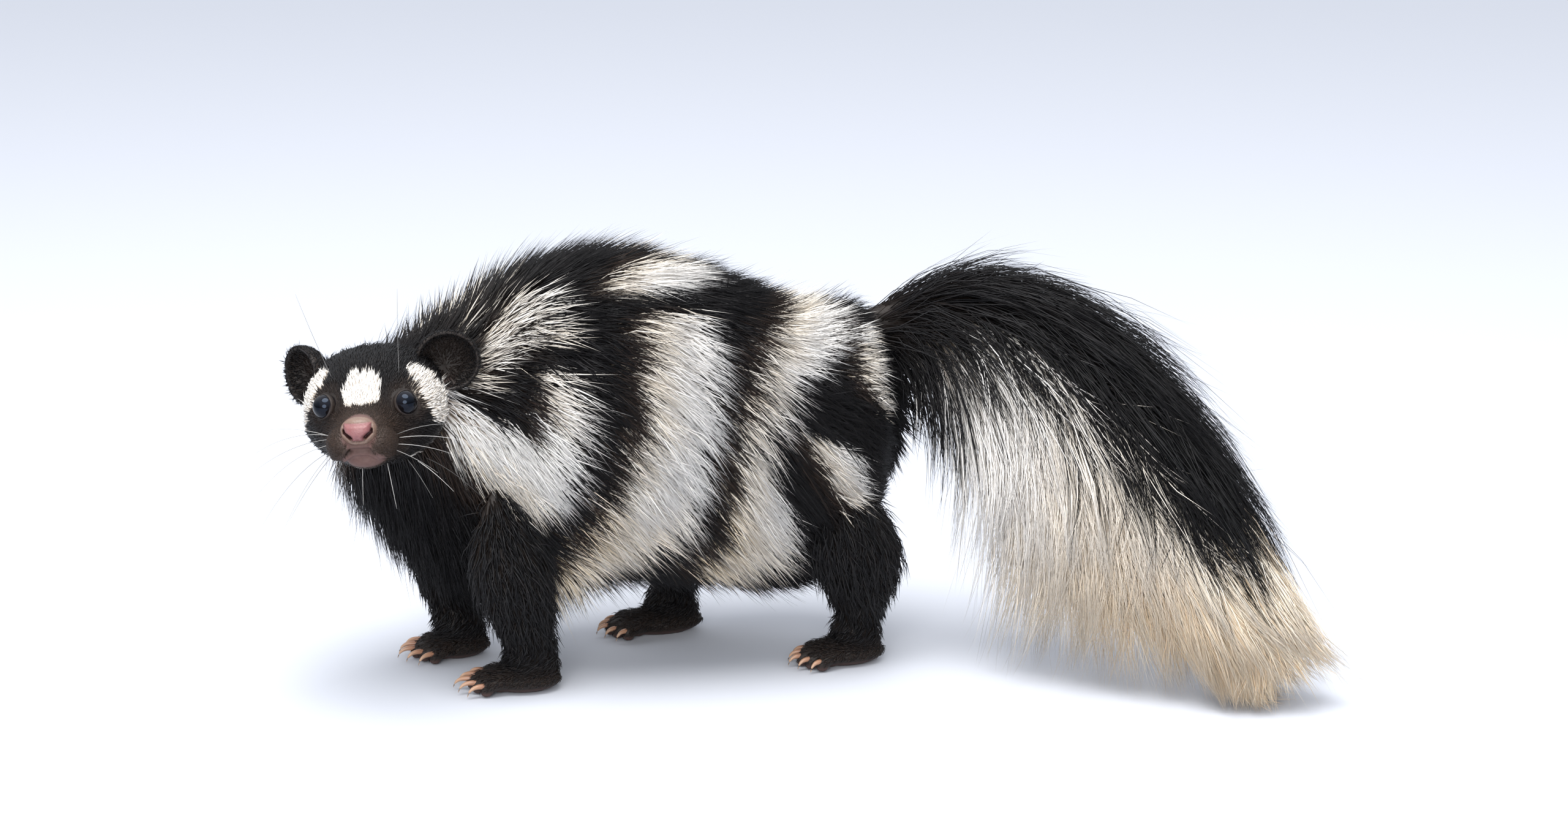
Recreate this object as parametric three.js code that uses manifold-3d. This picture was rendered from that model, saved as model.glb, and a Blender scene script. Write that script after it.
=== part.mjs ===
// A western spotted skunk, life size, in millimetres, +Z up, standing on the floor at z = 0.
// The spine runs along X with the rump towards +X. The head is turned towards -Y, and so is the tail.
import * as THREE from "three";
import { mergeVertices } from "three/addons/utils/BufferGeometryUtils.js";
import Module from "manifold-3d";

const wasm = await Module();
wasm.setup();

// Driving dimensions, in millimetres and degrees
const seam = 0.3; // gap that two pieces keep where they meet
const coatDepth = 6; // from the core of the trunk out to the tips of its locks
const noseTip = [-154.8, -52, 103.4];
const headTurn = 72.5; // from the spine's line towards the left side
const headLift = 4;
const headRoll = -3.5;
const headBack = 50; // from the tip of the nose to the cut behind the ears
const headRings = 13;
const headSides = 22;
const eyeRadius = 4.2;
const eyeAt = { x: 13.0, y: 17.6, z: 5.2 };
const earRadius = 9.6;
const earDepth = 5.4;
const earWall = 1.3;
const earAt = { x: 23.6, y: 43, z: 12.6 };
const earFacing = 38; // out from straight ahead
const lidThick = 1.2;
const lipThick = 1.25;
const ankleHeight = 12;
const clawLength = 8.5;
const floorClear = 0.4; // under the lowest hair of the tail

// Trunk and neck: centre, turn of the section in degrees, half width, rise to the back, drop to the belly
const trunkStations = [
  { at: [-142.3, -12.1, 102.1], turn: 72.5, wide: 21, rise: 19, drop: 18 },
  { at: [-139.5, -3.5, 101], turn: 62, wide: 22.5, rise: 20, drop: 24 },
  { at: [-133, 3.5, 97], turn: 47, wide: 25, rise: 27, drop: 44 },
  { at: [-121, 7.5, 93], turn: 31, wide: 29, rise: 34, drop: 57 },
  { at: [-105, 8, 90], turn: 15, wide: 35, rise: 43, drop: 61 },
  { at: [-88, 5, 89], turn: 4, wide: 40, rise: 55, drop: 58 },
  { at: [-66, 2, 89], turn: 0, wide: 42.5, rise: 60, drop: 58 },
  { at: [-44, 0, 88], turn: 0, wide: 44, rise: 58.5, drop: 59 },
  { at: [-22, 0, 84], turn: 0, wide: 44, rise: 55, drop: 58 },
  { at: [-2, 0, 80], turn: 0, wide: 43, rise: 50, drop: 57 },
  { at: [15, 0, 79], turn: 0, wide: 39, rise: 48, drop: 50 },
  { at: [28, 0, 81], turn: 0, wide: 30, rise: 43, drop: 38 },
  { at: [36, 0, 85], turn: 0, wide: 17, rise: 31, drop: 22 },
];
const neckShare = 0.315; // where along the trunk's stations the neck ends
const trunkRings = 16;
const trunkSides = 18;
const trunkFullness = 2.15; // 2 is an ellipse, more is boxier

// Head: distance behind the nose, half width, top, underside
const headStations = [
  { back: 1.2, wide: 4.6, top: 2.2, under: -7.5 },
  { back: 3.2, wide: 7.4, top: 4.2, under: -10.8 },
  { back: 7, wide: 10.2, top: 5.6, under: -13 },
  { back: 12, wide: 12.7, top: 7.6, under: -14.2 },
  { back: 17, wide: 16.3, top: 11.4, under: -15.2 },
  { back: 23, wide: 20.6, top: 16.6, under: -16.6 },
  { back: 30, wide: 23.2, top: 20.6, under: -17.5 },
  { back: 38, wide: 24.4, top: 22.6, under: -18 },
  { back: 45, wide: 24, top: 22.6, under: -18 },
  { back: headBack, wide: 22.6, top: 21, under: -17.6 },
];

// Legs from the shoulder or hip down: centre, half width, reach to the front and to the back
const legRings = 8;
const legSides = 12;
const legStations = {
  front_left: [
    { at: [-99, -13, 76], wide: 7, fore: 13, aft: 12 },
    { at: [-100, -20, 60], wide: 11, fore: 19, aft: 17 },
    { at: [-101, -24, 44], wide: 12.5, fore: 17, aft: 16 },
    { at: [-98, -23.5, 28], wide: 10.5, fore: 13, aft: 12.5 },
    { at: [-95, -21, 14], wide: 9, fore: 10, aft: 11 },
    { at: [-95, -20, 4], wide: 9, fore: 10, aft: 10 },
  ],
  front_right: [
    { at: [-106, 18, 76], wide: 7, fore: 13, aft: 12 },
    { at: [-110, 24, 60], wide: 11, fore: 19, aft: 17 },
    { at: [-114, 27, 44], wide: 12.5, fore: 17, aft: 16 },
    { at: [-114, 26, 28], wide: 10.5, fore: 13.5, aft: 12.5 },
    { at: [-112, 24, 14], wide: 9, fore: 10.5, aft: 10.5 },
    { at: [-112, 23, 4], wide: 9, fore: 10, aft: 10 },
  ],
  hind_left: [
    { at: [8, -18, 78], wide: 9, fore: 18, aft: 15 },
    { at: [10, -25, 62], wide: 14.5, fore: 24, aft: 21 },
    { at: [14, -27, 47], wide: 14, fore: 21, aft: 22 },
    { at: [19, -25, 33], wide: 11, fore: 15, aft: 16.5 },
    { at: [21, -21, 18], wide: 8.5, fore: 9.5, aft: 10.5 },
    { at: [20, -20, 4], wide: 8.5, fore: 9.5, aft: 9.5 },
  ],
  hind_right: [
    { at: [-2, 18, 78], wide: 9, fore: 18, aft: 15 },
    { at: [-8, 26, 62], wide: 14.5, fore: 24, aft: 22 },
    { at: [-18, 30, 46], wide: 14, fore: 22, aft: 20 },
    { at: [-27, 32, 30], wide: 11.5, fore: 15, aft: 15 },
    { at: [-33, 31, 17], wide: 9, fore: 10, aft: 11 },
    { at: [-34, 31, 4], wide: 9, fore: 9.5, aft: 9.5 },
  ],
};

// Paws: the middle of the wrist on the floor, heading in degrees from -X towards -Y, length of the sole
const pawPlaces = {
  front_left: { at: [-95, -20], heading: -10, sole: 30, wide: 9.5, reach: 19 },
  front_right: { at: [-112, 23], heading: 4, sole: 26, wide: 9.5, reach: 15 },
  hind_left: { at: [20, -20], heading: 4, sole: 30, wide: 9, reach: 19 },
  hind_right: { at: [-34, 31], heading: 2, sole: 34, wide: 9, reach: 22 },
};

// Tail: the bone, the upper and lower edge of the hair round it, and the hair's half width
const tailStations = [
  { bone: [26, 1, 112], top: [28, 1, 122], under: [30, 0, 98], wide: 10 },
  { bone: [40, -3, 119], top: [41, -3, 132], under: [38, -8, 84], wide: 14 },
  { bone: [54, -9, 124], top: [56, -10, 141], under: [45, -18, 68], wide: 18 },
  { bone: [73, -18, 123], top: [78, -20, 143], under: [52, -28, 48], wide: 21 },
  { bone: [93, -31, 112], top: [100, -34, 132], under: [57, -36, 24], wide: 23 },
  { bone: [110, -46, 93], top: [120, -53, 114], under: [64, -44, 6], wide: 24 },
  { bone: [122, -61, 72], top: [136, -70, 91], under: [76, -58, 1], wide: 23 },
  { bone: [131, -75, 50], top: [146, -88, 60], under: [95, -78, 1], wide: 19 },
  { bone: [139, -86, 34], top: [156, -106, 22], under: [124, -102, 1], wide: 12 },
];
const tailCoreShare = 0.5; // of the way from the bone to the tips of the hair
const tailRings = 12;
const tailSides = 16;
const tailCoat = { rows: 6, around: 8, gather: 0.45, wide: 8, thick: 1.1, seed: 41 };

// Locks of the neck and the torso: rows along, spacing round, half width, half thickness and length
const neckCoat = { rows: 2, pitch: 26, wide: 12, thick: 1.2, length: 32, droop: 0.14, tipLift: 1, seed: 11 };
const torsoCoat = { rows: 5, pitch: 32, wide: 14, thick: 1.3, length: 50, droop: 0.16, tipLift: 1, seed: 27 };

const radians = THREE.MathUtils.degToRad;
const vector = (list) => new THREE.Vector3(...list);

// Draws that repeat from run to run
function seededDraw(seed) {
  let state = seed;
  return () => {
    state = (state + 0x6d2b79f5) | 0;
    let mixed = Math.imul(state ^ (state >>> 15), 1 | state);
    mixed = (mixed + Math.imul(mixed ^ (mixed >>> 7), 61 | mixed)) ^ mixed;
    return ((mixed ^ (mixed >>> 14)) >>> 0) / 4294967296;
  };
}

// A closed solid from any three.js geometry
function solid(geometry) {
  const bare = new THREE.BufferGeometry().setAttribute("position", geometry.getAttribute("position"));
  if (geometry.index) bare.setIndex(geometry.index);
  const merged = mergeVertices(bare, 1e-4);
  const corners = merged.index.array;
  const kept = [];
  for (let i = 0; i < corners.length; i += 3) {
    const [a, b, c] = [corners[i], corners[i + 1], corners[i + 2]];
    if (a !== b && b !== c && a !== c) kept.push(a, b, c);
  }
  const mesh = new wasm.Mesh({
    numProp: 3,
    vertProperties: merged.attributes.position.array,
    triVerts: new Uint32Array(kept),
  });
  mesh.merge();
  const made = new wasm.Manifold(mesh);
  if (made.volume() > 0) return made;
  for (let i = 0; i < kept.length; i += 3) [kept[i + 1], kept[i + 2]] = [kept[i + 2], kept[i + 1]];
  return new wasm.Manifold(
    new wasm.Mesh({
      numProp: 3,
      vertProperties: merged.attributes.position.array,
      triVerts: new Uint32Array(kept),
    }),
  );
}

const moved = (geometry, matrix) => solid(geometry.clone().applyMatrix4(matrix));

const union = (solids) => wasm.Manifold.union(solids);

// The largest closed surface of a solid
function largest(made) {
  const bodies = made.decompose();
  return bodies.reduce((best, body) => (body.volume() > best.volume() ? body : best));
}

function geometryOf(made) {
  const mesh = made.getMesh();
  const geometry = new THREE.BufferGeometry();
  geometry.setAttribute("position", new THREE.BufferAttribute(new Float32Array(mesh.vertProperties), 3));
  geometry.setIndex(new THREE.BufferAttribute(new Uint32Array(mesh.triVerts), 1));
  geometry.computeVertexNormals();
  return geometry;
}

// The direction along a line of points at one of them
function along(points, i) {
  const next = points[Math.min(i + 1, points.length - 1)];
  return next.clone().sub(points[Math.max(i - 1, 0)]).normalize();
}

// A closed skin over rings of points, each ring with as many points as the others
function skinOver(rings) {
  const sides = rings[0].length;
  const points = rings.flat();
  const first = points.length;
  const middle = (ring) =>
    ring.reduce((sum, p) => sum.add(p), new THREE.Vector3()).divideScalar(sides);
  points.push(middle(rings[0]), middle(rings[rings.length - 1]));
  const faces = [];
  for (let r = 0; r < rings.length - 1; r++) {
    for (let s = 0; s < sides; s++) {
      const [a, b] = [r * sides + s, r * sides + ((s + 1) % sides)];
      const [c, d] = [a + sides, b + sides];
      faces.push(a, b, d, a, d, c);
    }
  }
  const last = (rings.length - 1) * sides;
  for (let s = 0; s < sides; s++) {
    const next = (s + 1) % sides;
    faces.push(first, next, s, first + 1, last + s, last + next);
  }
  const geometry = new THREE.BufferGeometry().setFromPoints(points);
  geometry.setIndex(faces);
  return geometry;
}

// Reads a list of numbers for each station smoothly at any share of the way along
function smoothTable(rows) {
  const clampIndex = (i) => Math.max(0, Math.min(rows.length - 1, i));
  return (share) => {
    const along = Math.min(Math.max(share, 0), 1) * (rows.length - 1);
    const i = Math.min(Math.floor(along), rows.length - 2);
    const t = along - i;
    return rows[0].map((_, column) => {
      const [p0, p1, p2, p3] = [i - 1, i, i + 1, i + 2].map((k) => rows[clampIndex(k)][column]);
      const bend = 2 * p0 - 5 * p1 + 4 * p2 - p3;
      const twist = -p0 + 3 * p1 - 3 * p2 + p3;
      return 0.5 * (2 * p1 + (p2 - p0) * t + bend * t * t + twist * t * t * t);
    });
  };
}

// Round to boxy cross-section: fullness 2 is an ellipse
const shaped = (value, fullness) => Math.sign(value) * Math.abs(value) ** (2 / fullness);

// A point of the trunk: share along its stations, angle round the section, lift off the outline
const trunkAt = smoothTable(
  trunkStations.map(({ at, turn, wide, rise, drop }) => [...at, turn, wide, rise, drop]),
);
function trunkPoint(share, angle, lift) {
  const [x, y, z, turn, wide, rise, drop] = trunkAt(share);
  const across = shaped(Math.cos(angle), trunkFullness) * (wide + lift);
  const height = (Math.sin(angle) > 0 ? rise : drop) + lift;
  return new THREE.Vector3(
    x - Math.sin(radians(turn)) * across,
    y + Math.cos(radians(turn)) * across,
    z + shaped(Math.sin(angle), trunkFullness) * height,
  );
}

function trunkLength(from, to) {
  return trunkPoint(from, Math.PI / 2, 0).distanceTo(trunkPoint(to, Math.PI / 2, 0));
}

// The whole trunk from the head to the rump, rounded off at the end
function trunkForm(lift) {
  const rings = [];
  for (let r = 0; r <= trunkRings; r++) {
    const ring = [];
    for (let s = 0; s < trunkSides; s++) {
      ring.push(trunkPoint(r / trunkRings, (2 * Math.PI * s) / trunkSides, lift));
    }
    rings.push(ring);
  }
  const centre = vector(trunkStations[trunkStations.length - 1].at);
  const back = new THREE.Vector3(3.2 + lift * 0.4, 0, 0);
  rings.push(rings[trunkRings].map((p) => p.clone().lerp(centre, 0.55).add(back)));
  return solid(skinOver(rings));
}

// A limb swept down its stations
function legForm(stations, lift) {
  const read = smoothTable(stations.map(({ at, wide, fore, aft }) => [...at, wide, fore, aft]));
  const rings = [];
  for (let r = 0; r <= legRings; r++) {
    const [x, y, z, wide, fore, aft] = read(r / legRings);
    const ring = [];
    for (let s = 0; s < legSides; s++) {
      const angle = (2 * Math.PI * s) / legSides;
      const reach = (Math.cos(angle) > 0 ? aft : fore) + lift;
      ring.push(new THREE.Vector3(x + Math.cos(angle) * reach, y + Math.sin(angle) * (wide + lift), z));
    }
    rings.push(ring);
  }
  return solid(skinOver(rings));
}

// A box as a solid, from one corner to the other
function block(low, high, matrix = new THREE.Matrix4()) {
  const size = high.map((v, i) => v - low[i]);
  const box = new THREE.BoxGeometry(...size);
  box.translate(...high.map((v, i) => (v + low[i]) / 2));
  return moved(box, matrix);
}

// A tapered, bent spike of few sides along points, each with its radius; the last point is the tip
function spike(points, radii, sides) {
  const up = new THREE.Vector3(0, 0, 1);
  const rings = points.map((p, i) => {
    const ahead = along(points, i);
    const hint = Math.abs(ahead.z) > 0.9 ? new THREE.Vector3(1, 0, 0) : up;
    const side = ahead.clone().cross(hint).normalize();
    const top = side.clone().cross(ahead);
    const ring = [];
    for (let s = 0; s < sides; s++) {
      const angle = (2 * Math.PI * s) / sides;
      ring.push(
        p
          .clone()
          .addScaledVector(side, Math.cos(angle) * radii[i])
          .addScaledVector(top, Math.sin(angle) * radii[i]),
      );
    }
    return ring;
  });
  return solid(skinOver(rings));
}

// A flat, tapered lock of hair along points, with the direction off the coat at each; it ends in a point
function lock(points, away, { wide, thick }, grow) {
  const last = points.length - 1;
  const rings = points.map((p, i) => {
    const ahead = along(points, i);
    const flat = ahead.clone().cross(away[i]).normalize();
    const off = flat.clone().cross(ahead);
    const taper = i === last ? 0 : [0.8, 1, 0.72][i];
    const middle = i === last ? p.clone().addScaledVector(ahead, grow) : p;
    return [
      middle.clone().addScaledVector(flat, wide * taper + grow),
      middle.clone().addScaledVector(off, thick * taper + grow),
      middle.clone().addScaledVector(flat, -wide * taper - grow),
      middle.clone().addScaledVector(off, -thick * taper - grow),
    ];
  });
  return solid(skinOver(rings));
}

// Head group frame: x to the animal's left, y back from the nose, z up
const turn = radians(headTurn);
const lift = radians(headLift);
const facing = new THREE.Vector3(
  -Math.cos(turn) * Math.cos(lift),
  -Math.sin(turn) * Math.cos(lift),
  Math.sin(lift),
);
const level = new THREE.Vector3(Math.sin(turn), -Math.cos(turn), 0);
const roll = new THREE.Matrix4().makeRotationAxis(facing, radians(headRoll));
const left = level.clone().transformDirection(roll);
const crown = left.clone().cross(facing.clone().negate());
const headFrame = new THREE.Matrix4()
  .makeBasis(left, facing.clone().negate(), crown)
  .setPosition(...noseTip);

const headAt = smoothTable(headStations.map(({ back, wide, top, under }) => [back, wide, top, under]));
function headForm(lift) {
  const rings = [];
  for (let r = 0; r <= headRings; r++) {
    const [back, wide, top, under] = headAt(r / headRings);
    const middle = (top + under) / 2;
    const half = (top - under) / 2;
    const ring = [];
    for (let s = 0; s < headSides; s++) {
      const angle = (2 * Math.PI * s) / headSides;
      ring.push(
        new THREE.Vector3(
          shaped(Math.cos(angle), 2.2) * (wide + lift),
          back - (r === 0 ? lift : 0),
          middle + shaped(Math.sin(angle), 2.1) * (half + lift),
        ),
      );
    }
    rings.push(ring);
  }
  return solid(skinOver(rings));
}

// A ball pulled to three radii and placed
function egg(centre, radii, across, down) {
  const ball = new THREE.SphereGeometry(1, across, down);
  ball.scale(...radii).translate(...centre);
  return solid(ball);
}

// A bead along a curve, for lips, lids and the cut of the mouth
function bead(points, radius, sides, steps) {
  const curve = new THREE.CatmullRomCurve3(points.map(vector));
  const spaced = curve.getPoints(steps);
  const radii = spaced.map((_, i) => radius * (0.35 + 0.65 * Math.sin((Math.PI * i) / steps)));
  return spike(spaced, radii, sides);
}

// Eyelid: a ring that stands round the eyeball, facing out and forward
const eyeGaze = new THREE.Vector3(0.7, -0.66, 0.26).normalize();
function lidRing(side) {
  const ring = new THREE.TorusGeometry(eyeRadius * 0.98, lidThick, 4, 12);
  ring.scale(1.1, 0.95, 1);
  const gaze = eyeGaze.clone().setX(eyeGaze.x * side);
  const turned = new THREE.Matrix4().lookAt(gaze, new THREE.Vector3(), new THREE.Vector3(0, 0, 1));
  const centre = new THREE.Vector3(eyeAt.x * side, eyeAt.y, eyeAt.z).addScaledVector(gaze, eyeRadius * 0.4);
  return moved(ring, turned.setPosition(centre));
}

// The line of the mouth, from corner to corner
const mouthLine = [
  [-12.6, 17, -8.6],
  [-10.6, 9.5, -9.8],
  [-6.6, 3.4, -8.8],
  [-2.4, 0.9, -6.9],
  [0, 0.4, -6.5],
  [2.4, 0.9, -6.9],
  [6.6, 3.4, -8.8],
  [10.6, 9.5, -9.8],
  [12.6, 17, -8.6],
];
const raised = (points, rise) => points.map(([x, y, z]) => [x, y + 0.4, z + rise]);

function headSolid() {
  const skull = headForm(0);
  const lids = [lidRing(1), lidRing(-1)];
  const lips = [1, -1].map((s) => bead(raised(mouthLine, s * lipThick * 1.08), lipThick, 4, 12));
  const chin = egg([0, 6.5, -11.4], [6.2, 5.6, 3.4], 10, 6);
  const sockets = [1, -1].map((s) =>
    egg([s * eyeAt.x, eyeAt.y, eyeAt.z], Array(3).fill(eyeRadius + seam), 12, 8),
  );
  const mouthCut = bead(mouthLine, 0.75, 4, 12);
  const pad = noseForm(seam);
  return largest(union([skull, ...lids, ...lips, chin]).subtract(union([...sockets, mouthCut, pad])));
}

// Nose pad with its two nostrils and the groove between them
function noseForm(grow) {
  return egg([0, 2.2, 0.3], [4.9 + grow, 3.6 + grow, 3.9 + grow], 12, 8);
}
function noseSolid() {
  const nostrils = [1, -1].map((s) => egg([s * 2.5, -1.1, -0.4], [1.25, 1.6, 0.95], 6, 4));
  const slits = [1, -1].map((s) => egg([s * 3.9, 0.2, -0.9], [1.5, 1.3, 0.6], 6, 4));
  const groove = egg([0, -1.2, -2.6], [0.4, 1.0, 2.2], 4, 4);
  return largest(noseForm(0).subtract(union([...nostrils, ...slits, groove])));
}

const eyeSolid = (side) => egg([side * eyeAt.x, eyeAt.y, eyeAt.z], Array(3).fill(eyeRadius), 12, 8);

// Ear: a round cup, open to the front and side
function earSolid(side) {
  const shell = egg([0, 0, 0], [earRadius, earDepth, earRadius], 14, 10);
  const hollow = egg([0, -2.6, 0], [earRadius - earWall, earDepth, earRadius - earWall], 12, 8);
  const front = block([-20, -20, -20], [20, -1.6, 20]);
  const tragus = egg([-4.5, -1.2, -5.5], [2.6, 1.6, 3], 6, 5);
  const cup = union([shell.subtract(union([hollow, front])), tragus.intersect(shell)]);
  const place = new THREE.Matrix4()
    .makeRotationZ(radians(side * earFacing))
    .setPosition(side * earAt.x, earAt.y, earAt.z);
  return largest(cup.transform(place.toArray()).subtract(headForm(seam)));
}

// One lock that lies along the trunk: it starts in the core and its tip reaches the outline
function trunkLock(share, angle, { reach, swing, tipLift, wide, thick }) {
  const steps = 3;
  const rootLift = -coatDepth - 2.4;
  const [points, away] = [[], []];
  for (let i = 0; i <= steps; i++) {
    const t = i / steps;
    const here = share + reach * t;
    const swung = angle + swing * t * t;
    const off = rootLift + (tipLift - rootLift) * t ** 0.9;
    const spot = trunkPoint(here, swung, off);
    points.push(spot);
    away.push(trunkPoint(here, swung, off + 5).sub(spot).normalize());
  }
  return lock(points, away, { wide, thick }, 0);
}

function trunkLocks(from, to, coat, end) {
  const draw = seededDraw(coat.seed);
  const made = [];
  for (let row = 0; row < coat.rows; row++) {
    const share = from + ((to - from) * row) / (coat.rows - 1);
    const [, , , , wide, rise, drop] = trunkAt(share);
    const girth = Math.PI * (wide + (rise + drop) / 2);
    const count = Math.max(8, Math.round(girth / coat.pitch));
    const pace = trunkLength(share, share + 0.02) / 0.02;
    for (let k = 0; k < count; k++) {
      const angle = (2 * Math.PI * (k + (row % 2) / 2 + 0.3 * (draw() - 0.5))) / count;
      const reach = Math.min((coat.length * (0.85 + 0.3 * draw())) / pace, end - share);
      const down = Math.cos(angle) >= 0 ? -1 : 1;
      const swing = down * coat.droop * Math.abs(Math.cos(angle)) * (0.6 + 0.8 * draw());
      const tipLift = coat.tipLift * (0.4 + 1.2 * draw());
      made.push(trunkLock(share, angle, { ...coat, reach, swing, tipLift }));
    }
  }
  return made;
}

const legNames = Object.keys(legStations);
const legsGrown = () => union(legNames.map((name) => legForm(legStations[name], seam)));

// All that lies on one side of the seam between the neck (-1) and the torso (1)
function neckSide(side) {
  const [x, y, z, turnHere] = trunkAt(neckShare);
  const frame = new THREE.Matrix4().makeRotationZ(radians(turnHere)).setPosition(x, y, z);
  const [near, far] = [(side * seam) / 2, side * 300];
  return block([Math.min(near, far), -200, -200], [Math.max(near, far), 200, 200], frame);
}

function neckSolid() {
  const headRoom = block([-60, -60, -60], [60, headBack + seam, 60], headFrame);
  const locks = trunkLocks(0.06, neckShare - 0.06, neckCoat, neckShare);
  const coat = union(locks).subtract(legsGrown());
  const whole = union([trunkForm(-coatDepth), coat]).subtract(headRoom);
  return largest(whole.intersect(neckSide(-1)));
}

function torsoSolid(tailGrown) {
  const locks = trunkLocks(neckShare + 0.02, 0.93, torsoCoat, 1);
  const coat = union(locks).subtract(union([legsGrown(), tailGrown]));
  return largest(union([trunkForm(-coatDepth), coat]).intersect(neckSide(1)));
}
const trunkCoreGrown = trunkForm(seam - coatDepth);

// Legs end in a flat cut above each paw
function legSolid(name) {
  const above = block([-250, -100, ankleHeight], [250, 100, 200]);
  return largest(legForm(legStations[name], 0).intersect(above).subtract(trunkCoreGrown));
}

// Paw in its own frame: toes towards -X, the sole on z = 0, the wrist over the origin
function toeAndClaw(spread, reach, wide) {
  const root = new THREE.Vector3(-reach + 7 + Math.abs(spread) * 2, spread * (wide - 2.6), 0);
  const heading = new THREE.Vector3(-Math.cos(spread * 0.34), Math.sin(spread * 0.34), 0);
  const length = 7.5 - 2.2 * spread * spread;
  const spot = (ahead, z) => root.clone().addScaledVector(heading, ahead).setZ(z);
  const toe = [spot(-1, 4.2), spot(length * 0.55, 3.9), spot(length + 1.2, 2.7)];
  const claw = [
    spot(length - 1.3, 3.9),
    spot(length + 0.2 + clawLength * 0.35, 4.1),
    spot(length + 0.2 + clawLength * 0.82, 0.5),
  ];
  return [spike(toe, [2.3, 2.7, 1.5], 5), spike(claw, [0.95, 0.85, 0], 4)];
}

function pawSolid({ sole, wide, reach }, legEnd) {
  const heel = sole - reach;
  const palm = egg([(heel - reach) / 2 + 1.5, 0, 3.6], [sole / 2 - 1, wide, 5.4], 10, 6);
  const wrist = egg([0, 0, 8], [legEnd.aft, legEnd.wide, 12], 8, 6);
  const toes = [-1, -0.5, 0, 0.5, 1].flatMap((spread) => toeAndClaw(spread, reach, wide));
  const room = block([-60, -40, 0], [60, 40, ankleHeight - seam]);
  return largest(union([palm, wrist, ...toes]).intersect(room));
}

// Tail: each section runs from its upper to its lower edge, and its core reaches part of the way
const tailAt = smoothTable(
  tailStations.map(({ bone, top, under, wide }) => [...bone, ...top, ...under, wide]),
);
function tailSection(share) {
  const row = tailAt(share);
  const [bone, top, under] = [0, 3, 6].map((k) => vector(row.slice(k, k + 3)));
  return { bone, top, under, wide: row[9] };
}
function tailSide(share) {
  const ahead = tailSection(Math.min(share + 0.03, 1)).bone.sub(tailSection(Math.max(share - 0.03, 0)).bone);
  const { top, under } = tailSection(share);
  return ahead.cross(top.clone().sub(under)).normalize();
}
// A point between the bone (0) and the tips of the hair (1), at an angle round the section
function tailPoint(share, angle, out) {
  const { bone, top, under, wide } = tailSection(share);
  const edge = top.clone().add(under).multiplyScalar(0.5);
  edge.addScaledVector(tailSide(share), Math.cos(angle) * wide);
  edge.addScaledVector(top.sub(under), Math.sin(angle) / 2);
  return bone.lerp(edge, out);
}
function tailCore(grow) {
  const rings = [];
  for (let r = 0; r <= tailRings; r++) {
    const share = r / tailRings;
    const ring = [];
    for (let s = 0; s < tailSides; s++) {
      const angle = (2 * Math.PI * s) / tailSides;
      const spot = tailPoint(share, angle, tailCoreShare);
      const outward = spot.clone().sub(tailPoint(share, angle, 0)).normalize();
      ring.push(spot.addScaledVector(outward, grow));
    }
    rings.push(ring);
  }
  return solid(skinOver(rings));
}

// A lock that leaves the core, follows the tail's line and droops to its tip on the outline
function tailLock(share, angle, draw, grow) {
  const under = Math.max(0, -Math.sin(angle));
  const reach = 0.3 - 0.12 * under;
  const tipShare = share + reach * (0.8 + 0.4 * draw());
  const tip = tailPoint(Math.min(tipShare, 1), angle, 0.94 + 0.12 * draw());
  if (tipShare > 1) {
    const beyond = tailSection(1).bone.sub(tailSection(0.9).bone).normalize();
    tip.addScaledVector(beyond, (tipShare - 1) * 40);
  }
  const root = tailPoint(share, angle, tailCoreShare * 0.72);
  const length = root.distanceTo(tip);
  const ahead = tailPoint(share + 0.05, angle, 0.5).sub(tailPoint(share - 0.05, angle, 0.5)).normalize();
  const outward = tailPoint(share, angle, 1).sub(tailPoint(share, angle, 0)).normalize();
  const bend = root.clone().addScaledVector(ahead, length * 0.32).addScaledVector(outward, length * 0.22);
  const curve = new THREE.QuadraticBezierCurve3(root, bend, tip);
  const points = [0, 0.35, 0.7, 1].map((t) => curve.getPoint(t));
  const low = floorClear + tailCoat.thick + 0.3;
  for (const p of points) p.z = Math.max(p.z, low);
  return lock(points, points.map(() => outward), tailCoat, grow);
}

function tailLocks(grow) {
  const draw = seededDraw(tailCoat.seed);
  const made = [];
  for (let row = 0; row < tailCoat.rows; row++) {
    for (let k = 0; k < tailCoat.around; k++) {
      const share = 0.04 + 0.9 * ((row + 0.4 * draw()) / tailCoat.rows);
      const even = (2 * Math.PI * (k + (row % 2) / 2 + 0.3 * (draw() - 0.5))) / tailCoat.around;
      const angle = even - tailCoat.gather * Math.cos(even);
      made.push(tailLock(share, angle, draw, grow));
    }
  }
  return made;
}

const floorUp = block([-300, -300, floorClear], [300, 300, 300]);
const tailWhole = (grow) => union([tailCore(grow), ...tailLocks(grow)]);
const tailSolid = () => largest(tailWhole(0).intersect(floorUp).subtract(trunkCoreGrown));

// Finishes
const finish = (color, roughness) => new THREE.MeshStandardMaterial({ color, roughness, metalness: 0 });
const blackCoat = finish(0x14120f, 0.85);
const creamCoat = finish(0xd9cfbd, 0.85);
const pinkSkin = finish(0xb5656a, 0.55);
const darkEye = finish(0x0b0d12, 0.08);

function piece(name, made, material) {
  const mesh = new THREE.Mesh(geometryOf(made), material);
  mesh.name = name;
  return mesh;
}

const skunk = new THREE.Group();
skunk.add(piece("neck", neckSolid(), blackCoat));
skunk.add(piece("torso", torsoSolid(tailWhole(seam)), blackCoat));
skunk.add(piece("tail", tailSolid(), creamCoat));

const head = new THREE.Group();
head.applyMatrix4(headFrame);
head.add(piece("head", headSolid(), blackCoat));
head.add(piece("nose", noseSolid(), pinkSkin));
for (const [word, side] of [["left", 1], ["right", -1]]) {
  head.add(piece(`eye_${word}`, eyeSolid(side), darkEye));
  head.add(piece(`ear_${word}`, earSolid(side), blackCoat));
}
skunk.add(head);

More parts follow.
